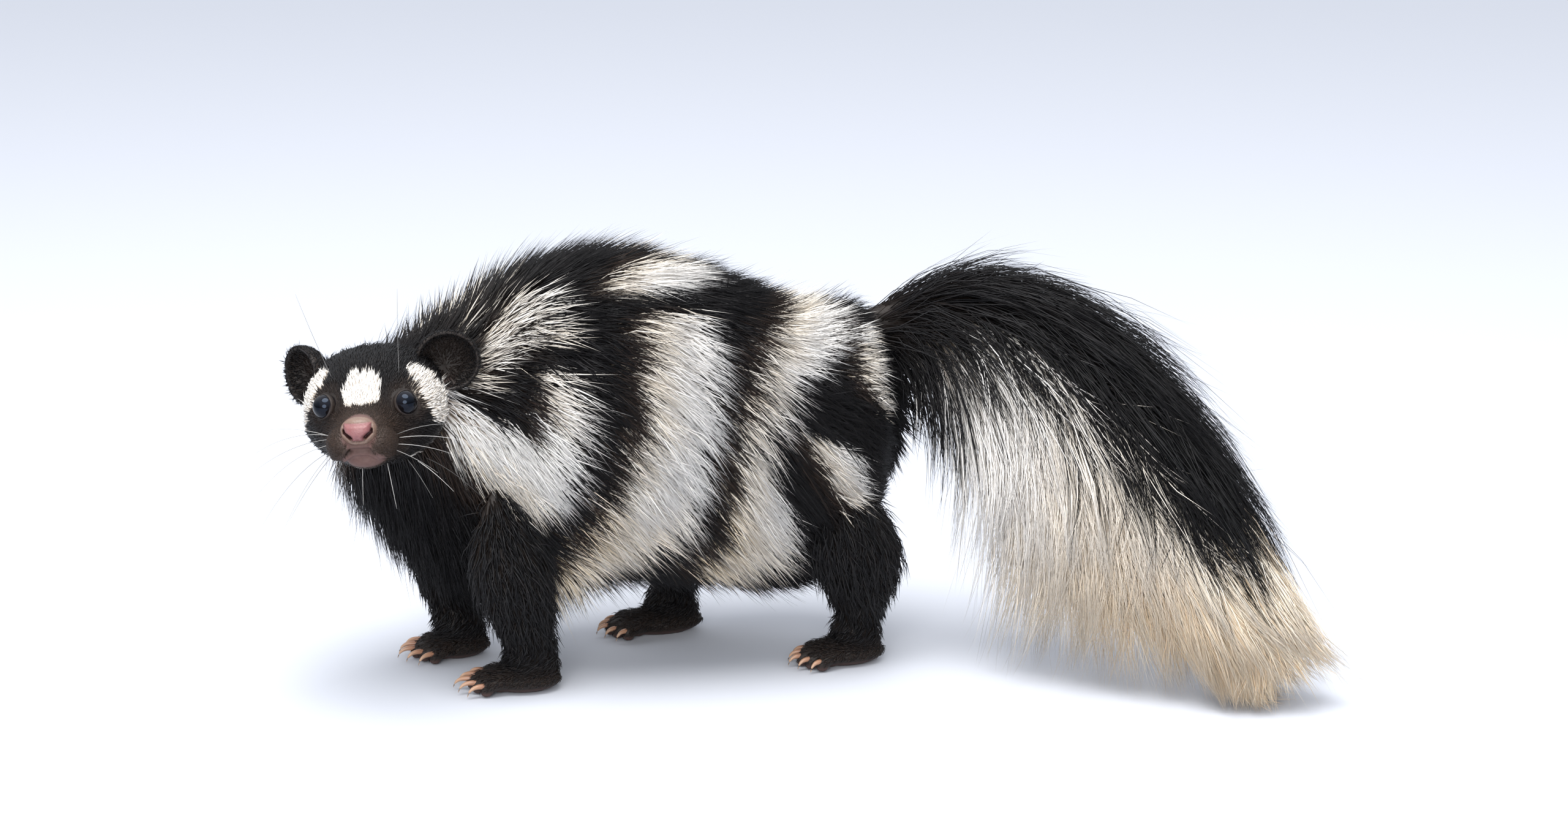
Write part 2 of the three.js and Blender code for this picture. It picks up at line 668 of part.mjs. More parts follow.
for (const name of legNames) {
  skunk.add(piece(`leg_${name}`, legSolid(name), blackCoat));
  const place = pawPlaces[name];
  const legEnd = legStations[name][legStations[name].length - 2];
  const paw = piece(`paw_${name}`, pawSolid(place, legEnd), blackCoat);
  paw.position.set(...place.at, 0);
  paw.rotation.z = radians(place.heading);
  skunk.add(paw);
}

// The origin goes on the floor under the middle of the whole animal
const whole = new THREE.Box3().setFromObject(skunk, true);
const middle = whole.getCenter(new THREE.Vector3());
for (const child of skunk.children) child.position.sub(new THREE.Vector3(middle.x, middle.y, 0));

export default skunk;
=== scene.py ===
import math
import bpy
import numpy as np
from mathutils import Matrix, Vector
from mathutils.bvhtree import BVHTree
from mathutils.kdtree import KDTree


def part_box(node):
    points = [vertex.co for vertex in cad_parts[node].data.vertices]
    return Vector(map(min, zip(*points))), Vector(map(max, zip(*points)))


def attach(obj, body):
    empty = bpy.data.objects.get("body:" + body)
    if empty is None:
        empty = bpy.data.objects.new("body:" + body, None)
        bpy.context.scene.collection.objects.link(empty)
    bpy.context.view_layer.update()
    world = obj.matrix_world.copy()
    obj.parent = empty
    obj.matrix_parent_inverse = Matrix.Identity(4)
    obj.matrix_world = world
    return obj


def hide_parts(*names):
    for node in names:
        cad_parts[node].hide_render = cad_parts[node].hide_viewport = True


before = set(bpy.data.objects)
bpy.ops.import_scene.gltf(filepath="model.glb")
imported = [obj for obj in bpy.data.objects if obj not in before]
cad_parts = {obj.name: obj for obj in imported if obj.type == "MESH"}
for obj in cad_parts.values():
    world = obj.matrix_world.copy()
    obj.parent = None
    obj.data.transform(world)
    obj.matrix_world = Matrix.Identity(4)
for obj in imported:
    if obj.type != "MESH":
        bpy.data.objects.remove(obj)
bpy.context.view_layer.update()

# A western spotted skunk, life size. Sizes below are millimetres and degrees, as in the solids.
mm = 0.001
solidNoseTip = np.array([-154.8, -52, 103.4])
headTurn = 72.5
headLift = 4
solidHeadRoll = -3.5
# The photo's head leans the other way from the solids', and sits a little lower
noseTip = solidNoseTip - [0.3, 0, 0.9]
headRoll = 3.6
eyeRadius = 4.2
eyeAt = (13.0, 17.6, 5.2)
floorClear = 0.4

# Trunk and neck: centre, turn of the section, half width, rise to the back, drop to the belly
trunkStations = [
    (-142.3, -12.1, 102.1, 72.5, 21, 14, 18),
    (-139.5, -3.5, 101, 62, 22.5, 14, 24),
    (-133, 3.5, 97, 47, 25, 19, 44),
    (-121, 7.5, 93, 31, 29, 28, 57),
    (-105, 8, 90, 15, 35, 43, 61),
    (-88, 5, 89, 4, 40, 55, 58),
    (-66, 2, 89, 0, 42.5, 60, 58),
    (-44, 0, 88, 0, 44, 58.5, 59),
    (-22, 0, 84, 0, 44, 55, 58),
    (-2, 0, 80, 0, 43, 50, 57),
    (15, 0, 79, 0, 39, 48, 50),
    (28, 0, 81, 0, 30, 43, 38),
    (36, 0, 85, 0, 17, 31, 22),
]
trunkFullness = 2.15

# Head: distance behind the nose, half width, top, underside
headStations = [
    (1.2, 4.6, 2.2, -7.5),
    (3.2, 7.4, 4.2, -10.8),
    (7, 10.2, 5.6, -13),
    (12, 12.7, 7.6, -14.2),
    (17, 16.3, 11.4, -15.2),
    (23, 20.6, 16.6, -16.6),
    (30, 23.2, 20.6, -17.5),
    (38, 24.4, 22.6, -18),
    (45, 24, 22.6, -18),
    (50, 22.6, 21, -17.6),
]

# Legs from the shoulder or hip down: centre, half width, reach to the front and to the back
legStations = {
    "front_left": [
        (-99, -13, 76, 7, 13, 12),
        (-100, -20, 60, 11, 19, 17),
        (-101, -24, 44, 12.5, 17, 16),
        (-98, -23.5, 28, 10.5, 13, 12.5),
        (-95, -21, 14, 9, 10, 11),
        (-95, -20, 4, 9, 10, 10),
    ],
    "front_right": [
        (-106, 18, 76, 7, 13, 12),
        (-110, 24, 60, 11, 19, 17),
        (-114, 27, 44, 12.5, 17, 16),
        (-114, 26, 28, 10.5, 13.5, 12.5),
        (-112, 24, 14, 9, 10.5, 10.5),
        (-112, 23, 4, 9, 10, 10),
    ],
    "hind_left": [
        (8, -18, 78, 9, 18, 15),
        (10, -25, 62, 14.5, 24, 21),
        (14, -27, 47, 14, 21, 22),
        (19, -25, 33, 11, 15, 16.5),
        (21, -21, 18, 8.5, 9.5, 10.5),
        (20, -20, 4, 8.5, 9.5, 9.5),
    ],
    "hind_right": [
        (-2, 18, 78, 9, 18, 15),
        (-8, 26, 62, 14.5, 24, 22),
        (-18, 30, 46, 14, 22, 20),
        (-27, 32, 30, 11.5, 15, 15),
        (-33, 31, 17, 9, 10, 11),
        (-34, 31, 4, 9, 9.5, 9.5),
    ],
}

# Paws: middle of the wrist, heading from -X towards -Y, length of the sole, half width, reach to the front
pawPlaces = {
    "front_left": {"at": (-95, -20), "heading": -10, "sole": 30, "wide": 9.5, "reach": 19},
    "front_right": {"at": (-112, 23), "heading": 4, "sole": 26, "wide": 9.5, "reach": 15},
    "hind_left": {"at": (20, -20), "heading": 4, "sole": 30, "wide": 9, "reach": 19},
    "hind_right": {"at": (-34, 31), "heading": 2, "sole": 34, "wide": 9, "reach": 22},
}

# Tail: the bone, the upper and lower edge of the hair round it, and the hair's half width
tailStations = [
    (26, 1, 112, 28, 1, 122, 30, 0, 98, 10),
    (40, -3, 119, 41, -3, 132, 38, -8, 84, 14),
    (54, -9, 124, 56, -10, 141, 45, -18, 68, 18),
    (73, -18, 123, 78, -20, 143, 52, -28, 48, 21),
    (93, -31, 112, 100, -34, 132, 57, -36, 24, 23),
    (110, -46, 93, 120, -53, 114, 64, -44, 6, 24),
    (122, -61, 72, 136, -70, 91, 76, -58, 1, 23),
    (131, -75, 50, 146, -88, 60, 95, -78, 1, 19),
    (139, -86, 34, 156, -106, 22, 124, -102, 1, 12),
]


# Helpers for points, one row for each point

def unit(v):
    return v / np.maximum(np.linalg.norm(v, axis=-1, keepdims=True), 1e-9)


def lerp(a, b, t):
    return a + (b - a) * t


def ease(low, high, value):
    t = np.clip((value - low) / (high - low), 0, 1)
    return t * t * (3 - 2 * t)


def rowDot(a, b):
    return np.sum(a * b, axis=-1, keepdims=True)


def smoothTable(rows, share):
    rows = np.array(rows, float)
    share = np.atleast_1d(share)
    last = len(rows) - 1
    place = np.clip(share, 0, 1) * last
    i = np.minimum(place.astype(int), last - 1)
    t = (place - i)[:, None]
    p0, p1, p2, p3 = [rows[np.clip(i + k, 0, last)] for k in (-1, 0, 1, 2)]
    bend = 2 * p0 - 5 * p1 + 4 * p2 - p3
    twist = -p0 + 3 * p1 - 3 * p2 + p3
    return 0.5 * (2 * p1 + (p2 - p0) * t + bend * t * t + twist * t * t * t)


def shaped(value, fullness):
    return np.sign(value) * np.abs(value) ** (2 / fullness)


def mirrored(local):
    # places of the head with its right half turned over on its left
    return np.column_stack([np.abs(local[:, 0]), local[:, 1:]])


def softNoise(p, size, seed):
    # a smooth, repeatable wander between about -1 and 1 from a few crossed waves
    draw = np.random.default_rng(seed)
    total = np.zeros(len(p))
    for k in range(5):
        way = draw.normal(size=p.shape[1])
        way *= 2 * math.pi * (0.6 + 0.35 * k) / (size * np.linalg.norm(way))
        total += np.sin(p @ way + draw.uniform(0, 2 * math.pi))
    return total / 2.4


# The frame's origin is under the middle of the box, so the left eye gives the way from body places to it

def headAxes(rollDegrees):
    turn, rise, roll = [math.radians(a) for a in (headTurn, headLift, rollDegrees)]
    facing = np.array([
        -math.cos(turn) * math.cos(rise), -math.sin(turn) * math.cos(rise), math.sin(rise)
    ])
    level = np.array([math.sin(turn), -math.cos(turn), 0])
    left = level * math.cos(roll) + np.cross(facing, level) * math.sin(roll)
    crown = np.cross(left, -facing)
    return np.array([left, -facing, crown])


headBasis = headAxes(headRoll)


def fromHead(p):
    return noseTip + np.atleast_2d(p) @ headBasis


def toHead(p):
    return (np.atleast_2d(p) - noseTip) @ headBasis.T


eyeLow, eyeHigh = [np.array(corner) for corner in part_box("eye_left")]
frameShift = (eyeLow + eyeHigh) / 2 / mm - (solidNoseTip + np.array(eyeAt) @ headAxes(solidHeadRoll))


# Surfaces that the solids share, with a lift off the outline

def trunkPoint(share, angle, lift):
    x, y, z, turn, wide, rise, drop = smoothTable(trunkStations, share).T
    turn = np.radians(turn)
    across = shaped(np.cos(angle), trunkFullness) * (wide + lift)
    height = np.where(np.sin(angle) > 0, rise, drop) + lift
    up = shaped(np.sin(angle), trunkFullness) * height
    return np.stack([x - np.sin(turn) * across, y + np.cos(turn) * across, z + up], axis=1)


def headPoint(share, angle, lift):
    back, wide, top, under = smoothTable(headStations, share).T
    middle = (top + under) / 2
    half = (top - under) / 2
    local = np.stack([
        shaped(np.cos(angle), 2.2) * (wide + lift),
        back,
        middle + shaped(np.sin(angle), 2.1) * (half + lift),
    ], axis=1)
    return fromHead(local)


def legPoint(name, share, angle, lift):
    x, y, z, wide, fore, aft = smoothTable(legStations[name], share).T
    reach = np.where(np.cos(angle) > 0, aft, fore) + lift
    return np.stack([x + np.cos(angle) * reach, y + np.sin(angle) * (wide + lift), z], axis=1)


def tailPoint(share, angle, out):
    row = smoothTable(tailStations, share)
    bone, top, under, wide = row[:, 0:3], row[:, 3:6], row[:, 6:9], row[:, 9:10]
    ahead, behind = [smoothTable(tailStations, share + step)[:, 0:3] for step in (0.03, -0.03)]
    side = unit(np.cross(ahead - behind, top - under))
    edge = (top + under) / 2 + side * np.cos(angle)[:, None] * wide
    edge = edge + (top - under) * np.sin(angle)[:, None] / 2
    return lerp(bone, edge, np.reshape(out, (-1, 1)))


# Meshes

def finishMesh(name, points, faces, material=None):
    mesh = bpy.data.meshes.new(name)
    mesh.from_pydata((points + frameShift) * mm, [], faces)
    mesh.validate()
    mesh.polygons.foreach_set("use_smooth", [True] * len(mesh.polygons))
    piece = bpy.data.objects.new(name, mesh)
    bpy.context.scene.collection.objects.link(piece)
    if material:
        mesh.materials.append(material)
    return piece


def writeValues(mesh, values):
    # a value for each point of the mesh, for the materials to read
    for key, value in values.items():
        layer = mesh.attributes.new(key, "FLOAT", "POINT")
        layer.data.foreach_set("value", np.asarray(value, np.float32))


def bodyPoints(mesh):
    flat = np.empty(len(mesh.vertices) * 3)
    mesh.vertices.foreach_get("co", flat)
    return flat.reshape(-1, 3) / mm - frameShift


def placePoints(mesh, points):
    mesh.vertices.foreach_set("co", ((points + frameShift) * mm).ravel())
    mesh.update()


def closedRings(rings):
    # a closed skin over rings of points, each with as many points as the others
    count, sides = rings.shape[:2]
    points = np.concatenate([rings.reshape(-1, 3), [rings[0].mean(0), rings[-1].mean(0)]])
    faces = []
    for r in range(count - 1):
        for s in range(sides):
            a, b = r * sides + s, r * sides + (s + 1) % sides
            faces.append((a, b, b + sides, a + sides))
    first, last = count * sides, (count - 1) * sides
    for s in range(sides):
        nxt = (s + 1) % sides
        faces.append((first, nxt, s))
        faces.append((first + 1, last + s, last + nxt))
    return points, faces


def closedInHead(rings):
    return closedRings(fromHead(rings.reshape(-1, 3)).reshape(rings.shape))


def sweep(surface, rings, sides):
    share = np.repeat(np.linspace(0, 1, rings), sides)
    angle = np.tile(np.arange(sides) * 2 * math.pi / sides, rings)
    return surface(share, angle).reshape(rings, sides, 3)


def egg(centre, radii, across=24, down=16):
    polar = np.linspace(0, math.pi, down + 1)[1:-1]
    around = np.arange(across) * 2 * math.pi / across
    ring = np.stack([np.cos(around), np.sin(around)], axis=1)
    rings = [
        np.column_stack([ring * math.sin(p), np.full(across, math.cos(p))]) for p in polar
    ]
    return np.array(rings) * radii + centre


def tube(points, radii, sides):
    points = np.array(points, float)
    radii = np.broadcast_to(radii, len(points))
    ahead = unit(np.gradient(points, axis=0))
    hint = np.where(np.abs(ahead[:, 2:3]) > 0.9, [[1.0, 0, 0]], [[0, 0, 1.0]])
    side = unit(np.cross(ahead, hint))
    top = np.cross(side, ahead)
    turns = np.arange(sides) * 2 * math.pi / sides
    rings = [
        p + r * (np.outer(np.cos(turns), s) + np.outer(np.sin(turns), t))
        for p, r, s, t in zip(points, radii, side, top)
    ]
    return np.array(rings)


def joined(parts):
    # several (points, faces) as one
    points, faces, start = [], [], 0
    for p, f in parts:
        points.append(p)
        faces += [tuple(v + start for v in face) for face in f]
        start += len(p)
    return np.concatenate(points), faces


def remeshed(name, parts, voxel, rounds):
    piece = finishMesh(name, *joined(parts))
    remesh = piece.modifiers.new("clay", "REMESH")
    remesh.mode = "VOXEL"
    remesh.voxel_size = voxel * mm
    remesh.use_smooth_shade = True
    soften = piece.modifiers.new("soften", "SMOOTH")
    soften.factor = 0.5
    soften.iterations = rounds
    return applied(piece)


def applied(piece):
    graph = bpy.context.evaluated_depsgraph_get()
    shape = bpy.data.meshes.new_from_object(piece.evaluated_get(graph))
    old = piece.data
    piece.modifiers.clear()
    piece.data = shape
    bpy.data.meshes.remove(old)
    return piece


def dropPiece(piece):
    shape = piece.data
    bpy.data.objects.remove(piece)
    bpy.data.meshes.remove(shape)


# Markings. Along is measured down the spine from behind the head, down is round from the back's middle.

spineSteps, girthSteps = 401, 181
spineShares = np.linspace(0, 1, spineSteps)
girthShares = np.linspace(0, 1, girthSteps)


def tapeTables():
    middle = smoothTable(trunkStations, spineShares)[:, 0:3]
    along = np.concatenate([[0], np.cumsum(np.linalg.norm(np.diff(middle, axis=0), axis=1))])
    share = np.repeat(spineShares, girthSteps)
    angle = np.tile(math.pi / 2 + girthShares * math.pi, spineSteps)
    flank = trunkPoint(share, angle, 0).reshape(spineSteps, girthSteps, 3)
    down = np.cumsum(np.linalg.norm(np.diff(flank, axis=1), axis=2), axis=1)
    return along, np.column_stack([np.zeros(spineSteps), down])


spineAlong, girthDown = tapeTables()


def tape(share, angle):
    # distance along the spine, distance down from the back, and which side (+1 is the left)
    share = np.asarray(share)
    along = np.interp(share, spineShares, spineAlong)
    along = along + np.maximum(share - 1, 0) * 110
    turned = (np.asarray(angle) - math.pi / 2) % (2 * math.pi)
    side = np.where(turned < math.pi, 1, -1)
    away = np.where(turned < math.pi, turned, 2 * math.pi - turned) / math.pi
    row = np.clip(share, 0, 1) * (spineSteps - 1)
    column = away * (girthSteps - 1)
    i = np.minimum(row.astype(int), spineSteps - 2)
    j = np.minimum(column.astype(int), girthSteps - 2)
    u, v = row - i, column - j
    top = lerp(girthDown[i, j], girthDown[i, j + 1], v)
    low = lerp(girthDown[i + 1, j], girthDown[i + 1, j + 1], v)
    return along, lerp(top, low, u), side


# Each mark on the trunk is a chain of round spots (along, down, half width) with its share of white hairs
trunkMarks = {
    "cheek band": {"white": 1.0, "spots": [
        (2, 28, 8), (8, 34, 9.5), (15, 40, 10), (24, 47, 9.5), (33, 55, 8.5), (42, 64, 8.5), (49, 75, 9),
        (55, 86, 9), (59, 92, 6)
    ]},
    "nape": {"white": 0.62, "spots": [(37, 27, 7), (48, 26, 10), (57, 24, 11), (64, 28, 9), (67, 35, 5)]},
    "nape ridge": {"white": 0.2, "spots": [(40, 8, 5), (50, 8, 8), (58, 8, 8)]},
    "shoulder": {"white": 0.88, "spots": [
        (65, 53, 5), (66, 62, 8), (64, 72, 9.5), (62, 82, 9.5), (59, 90, 6.5)
    ]},
    "back": {"white": 1.0, "spots": [(95, 25, 5), (102, 20, 8), (109, 15, 8.5), (116, 11, 7), (121, 8, 5)]},
    "rib band": {"white": 1.0, "spots": [
        (106, 43, 9), (113, 43, 8.5), (109, 55, 12.5), (107, 68, 11.5), (106, 80, 12), (102, 92, 14),
        (97, 104, 15.5), (92, 115, 14), (85, 126, 11), (79, 134, 10), (75, 141, 9)
    ]},
    "hip band top": {"white": 1.0, "spots": [
        (164, 9, 8), (162, 18, 10.5), (157, 27, 10), (151, 36, 8), (144, 46, 6.5)
    ]},
    "hip band middle": {"white": 0.75, "spots": [
        (144, 46, 6.5), (139, 55, 6.5), (136, 64, 6), (133, 74, 5.5), (132, 84, 6)
    ]},
    "hip band": {"white": 1.0, "spots": [
        (132, 85, 6), (134, 94, 8.5), (137, 104, 11), (136, 115, 12), (131, 126, 11), (125, 135, 9)
    ]},
    "thigh": {"white": 1.0, "spots": [(158, 68, 5), (165, 73, 7.5), (170, 81, 7), (172, 89, 4)]},
    "rump": {"white": 0.9, "spots": [(182, 17, 4.5), (180, 24, 6), (181, 33, 6), (184, 42, 4.5)]},
}

# Marks on the head, in the head's own frame: to the left, back from the nose, up, half width
headMarks = {
    "cheek": [
        (14.5, 26.5, 18, 2.0), (17, 27.5, 13, 4.6), (20, 29.5, 7.5, 7.2), (21.5, 31, 1.5, 8.2),
        (23, 36, -1, 9.0), (25, 45, -1, 10.5), (26, 53, -1, 10),
    ],
    "jaw": [(12.5, 24, -14.5, 1.3), (16.5, 31, -14.6, 1.9), (20, 39, -13.5, 2.3)],
}
cheekPatch = [
    (16.5, 19, -3.5, 4.8), (19, 27, -6.5, 4.4), (22, 35, -8.5, 4.0), (24.5, 42, -9, 3.0), (27, 48, -9, 1.8)
]
foreheadPatch = {"x": -0.6, "back": 16.8, "half": (5.9, 4.8)}
chinTufts = [(-1.5, 8.5, -14.6, 2.0), (-8.5, 13, -14.4, 1.6)]
kneeTufts = [(3, -40, 42, 5), (24, -33, 20, 2.6), (6, -36, 34, 3.5)]


def chainDistance(points, spots):
    # how far each point is outside a chain of round spots; negative inside
    spots = np.array(spots, float)
    centres, radii = spots[:, :-1], spots[:, -1]
    best = np.full(len(points), 1e9)
    if len(spots) == 1:
        return np.linalg.norm(points - centres[0], axis=1) - radii[0]
    for k in range(len(spots) - 1):
        a, b = centres[k], centres[k + 1]
        line = b - a
        t = np.clip((points - a) @ line / (line @ line), 0, 1)
        near = a + t[:, None] * line
        best = np.minimum(best, np.linalg.norm(points - near, axis=1) - lerp(radii[k], radii[k + 1], t))
    return best


def trunkWhite(along, down, side):
    # share of white hair at places of the trunk, with a wandering edge
    places = np.column_stack([along + (1 - side) * 1.5, down])
    wander = 1.3 * softNoise(places + side[:, None] * 40, 16, 5)
    wander = wander + 0.8 * softNoise(places + side[:, None] * 40, 6, 6)
    white = np.zeros(len(places))
    for mark in trunkMarks.values():
        away = chainDistance(places, mark["spots"]) + wander
        spread = 1.6 if mark["white"] == 1 else 4
        white = np.maximum(white, mark["white"] * ease(spread, -spread, away))
    return white


def headWhite(local):
    both = mirrored(local)
    wander = 0.5 * softNoise(local, 5, 8)
    white = ease(0.8, -0.8, chainDistance(both, headMarks["cheek"]) + wander)
    white = np.minimum(white, ease(-0.6, 0.6, chainDistance(both, cheekPatch) + wander))
    white = np.maximum(white, ease(0.5, -0.5, chainDistance(both, headMarks["jaw"]) + wander))
    u = (local[:, 0] - foreheadPatch["x"]) / foreheadPatch["half"][0]
    v = (local[:, 1] - foreheadPatch["back"]) / foreheadPatch["half"][1]
    square = ((np.abs(u) ** 3.4 + np.abs(v) ** 3.4) ** (1 / 3.4) - 1) * 6 + wander
    white = np.maximum(white, ease(0.5, -0.5, square) * (local[:, 2] > 3))
    for tuft in chinTufts:
        white = np.maximum(white, ease(0.6, -0.6, chainDistance(local, [tuft]) + wander))
    return white


def nearHead(local):
    return (local[:, 1] < 50) & (np.abs(local[:, 0]) < 32) & (np.abs(local[:, 2]) < 30)


def muzzlePink(local):
    # pinkish skin round the nose, down the philtrum and on the lower lip
    nearNose = ease(6.6, 5.4, np.linalg.norm((local - [0, 1.8, -1.2]) * [1, 0.8, 0.9], axis=1))
    philtrum = ease(4.6, 2.6, lineDistance(local, [(0, 0, -4), (0.6, 1, -7)]))
    lip = ease(7.4, 5.4, np.linalg.norm((local - [0.9, 3.4, -9.8]) * [0.86, 0.9, 2.0], axis=1))
    return np.maximum(np.maximum(nearNose, philtrum), lip)


def lineDistance(points, line):
    line = np.array(line, float)
    best = np.full(len(points), 1e9)
    for a, b in zip(line[:-1], line[1:]):
        step = b - a
        t = np.clip((points - a) @ step / (step @ step), 0, 1)
        best = np.minimum(best, np.linalg.norm(points - a - t[:, None] * step, axis=1))
    return best


print("sizes and markings ready")


# Materials

def newMaterial(name):
    material = bpy.data.materials.new(name)
    material.use_nodes = True
    shader = material.node_tree.nodes["Principled BSDF"]
    return material, material.node_tree.nodes, material.node_tree.links, shader


def readAttribute(nodes, name):
    node = nodes.new("ShaderNodeAttribute")
    node.attribute_name = name
    return node.outputs["Fac"]


def mixColours(nodes, links, factor, first, second, blend="MIX"):
    mix = nodes.new("ShaderNodeMix")
    mix.data_type = "RGBA"
    mix.blend_type = blend
    for socket, value in ((mix.inputs[0], factor), (mix.inputs[6], first), (mix.inputs[7], second)):
        if isinstance(value, bpy.types.NodeSocket):
            links.new(value, socket)
        elif isinstance(value, tuple):
            socket.default_value = (*value, 1)
        else:
            socket.default_value = value
    return mix.outputs[2]


def ramp(nodes, links, factor, stops):
    node = nodes.new("ShaderNodeValToRGB")
    links.new(factor, node.inputs[0])
    elements = node.color_ramp.elements
    while len(elements) < len(stops):
        elements.new(0.5)
    for element, (place, colour) in zip(elements, stops):
        element.position = place
        element.color = (*colour, 1)
    return node.outputs[0]


def noise(nodes, links, size, detail=3.0, roughness=0.55):
    place = nodes.new("ShaderNodeTexCoord")
    node = nodes.new("ShaderNodeTexNoise")
    node.inputs["Scale"].default_value = 1 / (size * mm)
    node.inputs["Detail"].default_value = detail
    node.inputs["Roughness"].default_value = roughness
    links.new(place.outputs["Object"], node.inputs["Vector"])
    return node.outputs["Fac"]


def bump(nodes, links, shader, height, depth, strength=0.6):
    node = nodes.new("ShaderNodeBump")
    node.inputs["Strength"].default_value = strength
    node.inputs["Distance"].default_value = depth * mm
    links.new(height, node.inputs["Height"])
    links.new(node.outputs["Normal"], shader.inputs["Normal"])


def span(nodes, links, factor, low, high):
    node = nodes.new("ShaderNodeMapRange")
    links.new(factor, node.inputs["Value"])
    node.inputs["To Min"].default_value = low
    node.inputs["To Max"].default_value = high
    return node.outputs["Result"]


hairColours = {
    "blackRoot": (0.022, 0.014, 0.010),
    "blackTip": (0.0045, 0.0045, 0.0055),
    "whiteRoot": (0.50, 0.37, 0.26),
    "whiteTip": (0.95, 0.92, 0.88),
    "cream": (0.86, 0.70, 0.48),
    "stain": (0.72, 0.42, 0.16),
    "umber": (0.050, 0.030, 0.020),
}


def hairMaterial(name, roughness):
    # white, warm, stain, umber, vary and along are written on the hair's own mesh
    material, nodes, links, shader = newMaterial(name)
    along = readAttribute(nodes, "along")
    vary = readAttribute(nodes, "vary")
    black = ramp(nodes, links, along, [(0.0, hairColours["blackRoot"]), (0.45, hairColours["blackTip"])])
    black = mixColours(nodes, links, span(nodes, links, vary, 0.0, 0.3), black, (0.024, 0.020, 0.019))
    black = mixColours(nodes, links, readAttribute(nodes, "umber"), black, hairColours["umber"])
    white = ramp(nodes, links, along, [(0.05, hairColours["whiteRoot"]), (0.5, hairColours["whiteTip"])])
    warm = mixColours(nodes, links, readAttribute(nodes, "warm"), white, hairColours["cream"])
    warm = mixColours(nodes, links, readAttribute(nodes, "stain"), warm, hairColours["stain"])
    shade = span(nodes, links, vary, 0.86, 1.0)
    grey = nodes.new("ShaderNodeCombineColor")
    for socket in grey.inputs[:3]:
        links.new(shade, socket)
    warm = mixColours(nodes, links, 1.0, warm, grey.outputs[0], "MULTIPLY")
    base = mixColours(nodes, links, readAttribute(nodes, "white"), black, warm)
    links.new(base, shader.inputs["Base Color"])
    patches = noise(nodes, links, 9)
    links.new(span(nodes, links, patches, roughness - 0.08, roughness + 0.1), shader.inputs["Roughness"])
    shader.inputs["Specular IOR Level"].default_value = 0.22
    bump(nodes, links, shader, noise(nodes, links, 0.5), 0.05, 0.4)
    return material


def skinMaterial():
    material, nodes, links, shader = newMaterial("skin under the coat")
    fine = noise(nodes, links, 1.1, 5.0)
    wide = noise(nodes, links, 7)
    dark = mixColours(nodes, links, wide, (0.010, 0.008, 0.007), (0.022, 0.015, 0.012))
    pale = mixColours(nodes, links, wide, (0.46, 0.38, 0.30), (0.62, 0.55, 0.46))
    coat = mixColours(nodes, links, readAttribute(nodes, "white"), dark, pale)
    pink = mixColours(nodes, links, fine, (0.075, 0.038, 0.033), (0.135, 0.078, 0.068))
    coat = mixColours(nodes, links, readAttribute(nodes, "pink"), coat, pink)
    coat = mixColours(nodes, links, readAttribute(nodes, "umber"), coat, (0.045, 0.024, 0.016))
    links.new(coat, shader.inputs["Base Color"])
    links.new(span(nodes, links, fine, 0.48, 0.72), shader.inputs["Roughness"])
    shader.inputs["Specular IOR Level"].default_value = 0.3
    shader.inputs["Subsurface Weight"].default_value = 0.06
    shader.inputs["Subsurface Radius"].default_value = (0.002, 0.001, 0.0006)
    bump(nodes, links, shader, fine, 0.16, 0.7)
    return material


def noseMaterial():
    material, nodes, links, shader = newMaterial("moist nose skin")
    place = nodes.new("ShaderNodeTexCoord")
    cells = nodes.new("ShaderNodeTexVoronoi")
    cells.inputs["Scale"].default_value = 1 / (0.62 * mm)
    links.new(place.outputs["Object"], cells.inputs["Vector"])
    wide = noise(nodes, links, 3.5)
    fold = mixColours(nodes, links, wide, (0.13, 0.080, 0.060), (0.20, 0.130, 0.098))
    pad = mixColours(nodes, links, wide, (0.17, 0.058, 0.060), (0.25, 0.105, 0.102))
    base = mixColours(nodes, links, readAttribute(nodes, "pink"), fold, pad)
    # painted shade: the dark attribute turns the nostrils and the groove round the pad near black
    base = mixColours(nodes, links, readAttribute(nodes, "dark"), base, (0.035, 0.012, 0.012))
    links.new(base, shader.inputs["Base Color"])
    links.new(span(nodes, links, wide, 0.34, 0.52), shader.inputs["Roughness"])
    shader.inputs["Subsurface Weight"].default_value = 0.12
    shader.inputs["Subsurface Radius"].default_value = (0.0025, 0.001, 0.0006)
    bump(nodes, links, shader, cells.outputs["Distance"], 0.12, 0.55)
    return material


def eyeMaterial():
    material, nodes, links, shader = newMaterial("wet eye")
    wide = noise(nodes, links, 1.2)
    iris = mixColours(nodes, links, wide, (0.003, 0.003, 0.004), (0.008, 0.006, 0.006))
    base = mixColours(nodes, links, readAttribute(nodes, "pupil"), iris, (0.0015, 0.0015, 0.002))
    base = mixColours(nodes, links, readAttribute(nodes, "rim"), base, (0.20, 0.17, 0.17))
    links.new(base, shader.inputs["Base Color"])
    links.new(span(nodes, links, wide, 0.03, 0.07), shader.inputs["Roughness"])
    shader.inputs["IOR"].default_value = 1.36
    shader.inputs["Specular Tint"].default_value = (0.42, 0.55, 0.78, 1)
    bump(nodes, links, shader, wide, 0.02, 0.15)
    return material


def clawMaterial():
    material, nodes, links, shader = newMaterial("horn of the claws")
    grain = noise(nodes, links, 1.6, 4.0)
    along = readAttribute(nodes, "along")
    horn = ramp(nodes, links, along, [
        (0.0, (0.20, 0.08, 0.05)), (0.45, (0.40, 0.22, 0.13)), (1.0, (0.55, 0.40, 0.27))
    ])
    base = mixColours(nodes, links, span(nodes, links, grain, 0, 0.4), horn, (0.24, 0.12, 0.09))
    links.new(base, shader.inputs["Base Color"])
    links.new(span(nodes, links, grain, 0.28, 0.42), shader.inputs["Roughness"])
    bump(nodes, links, shader, grain, 0.06, 0.4)
    return material


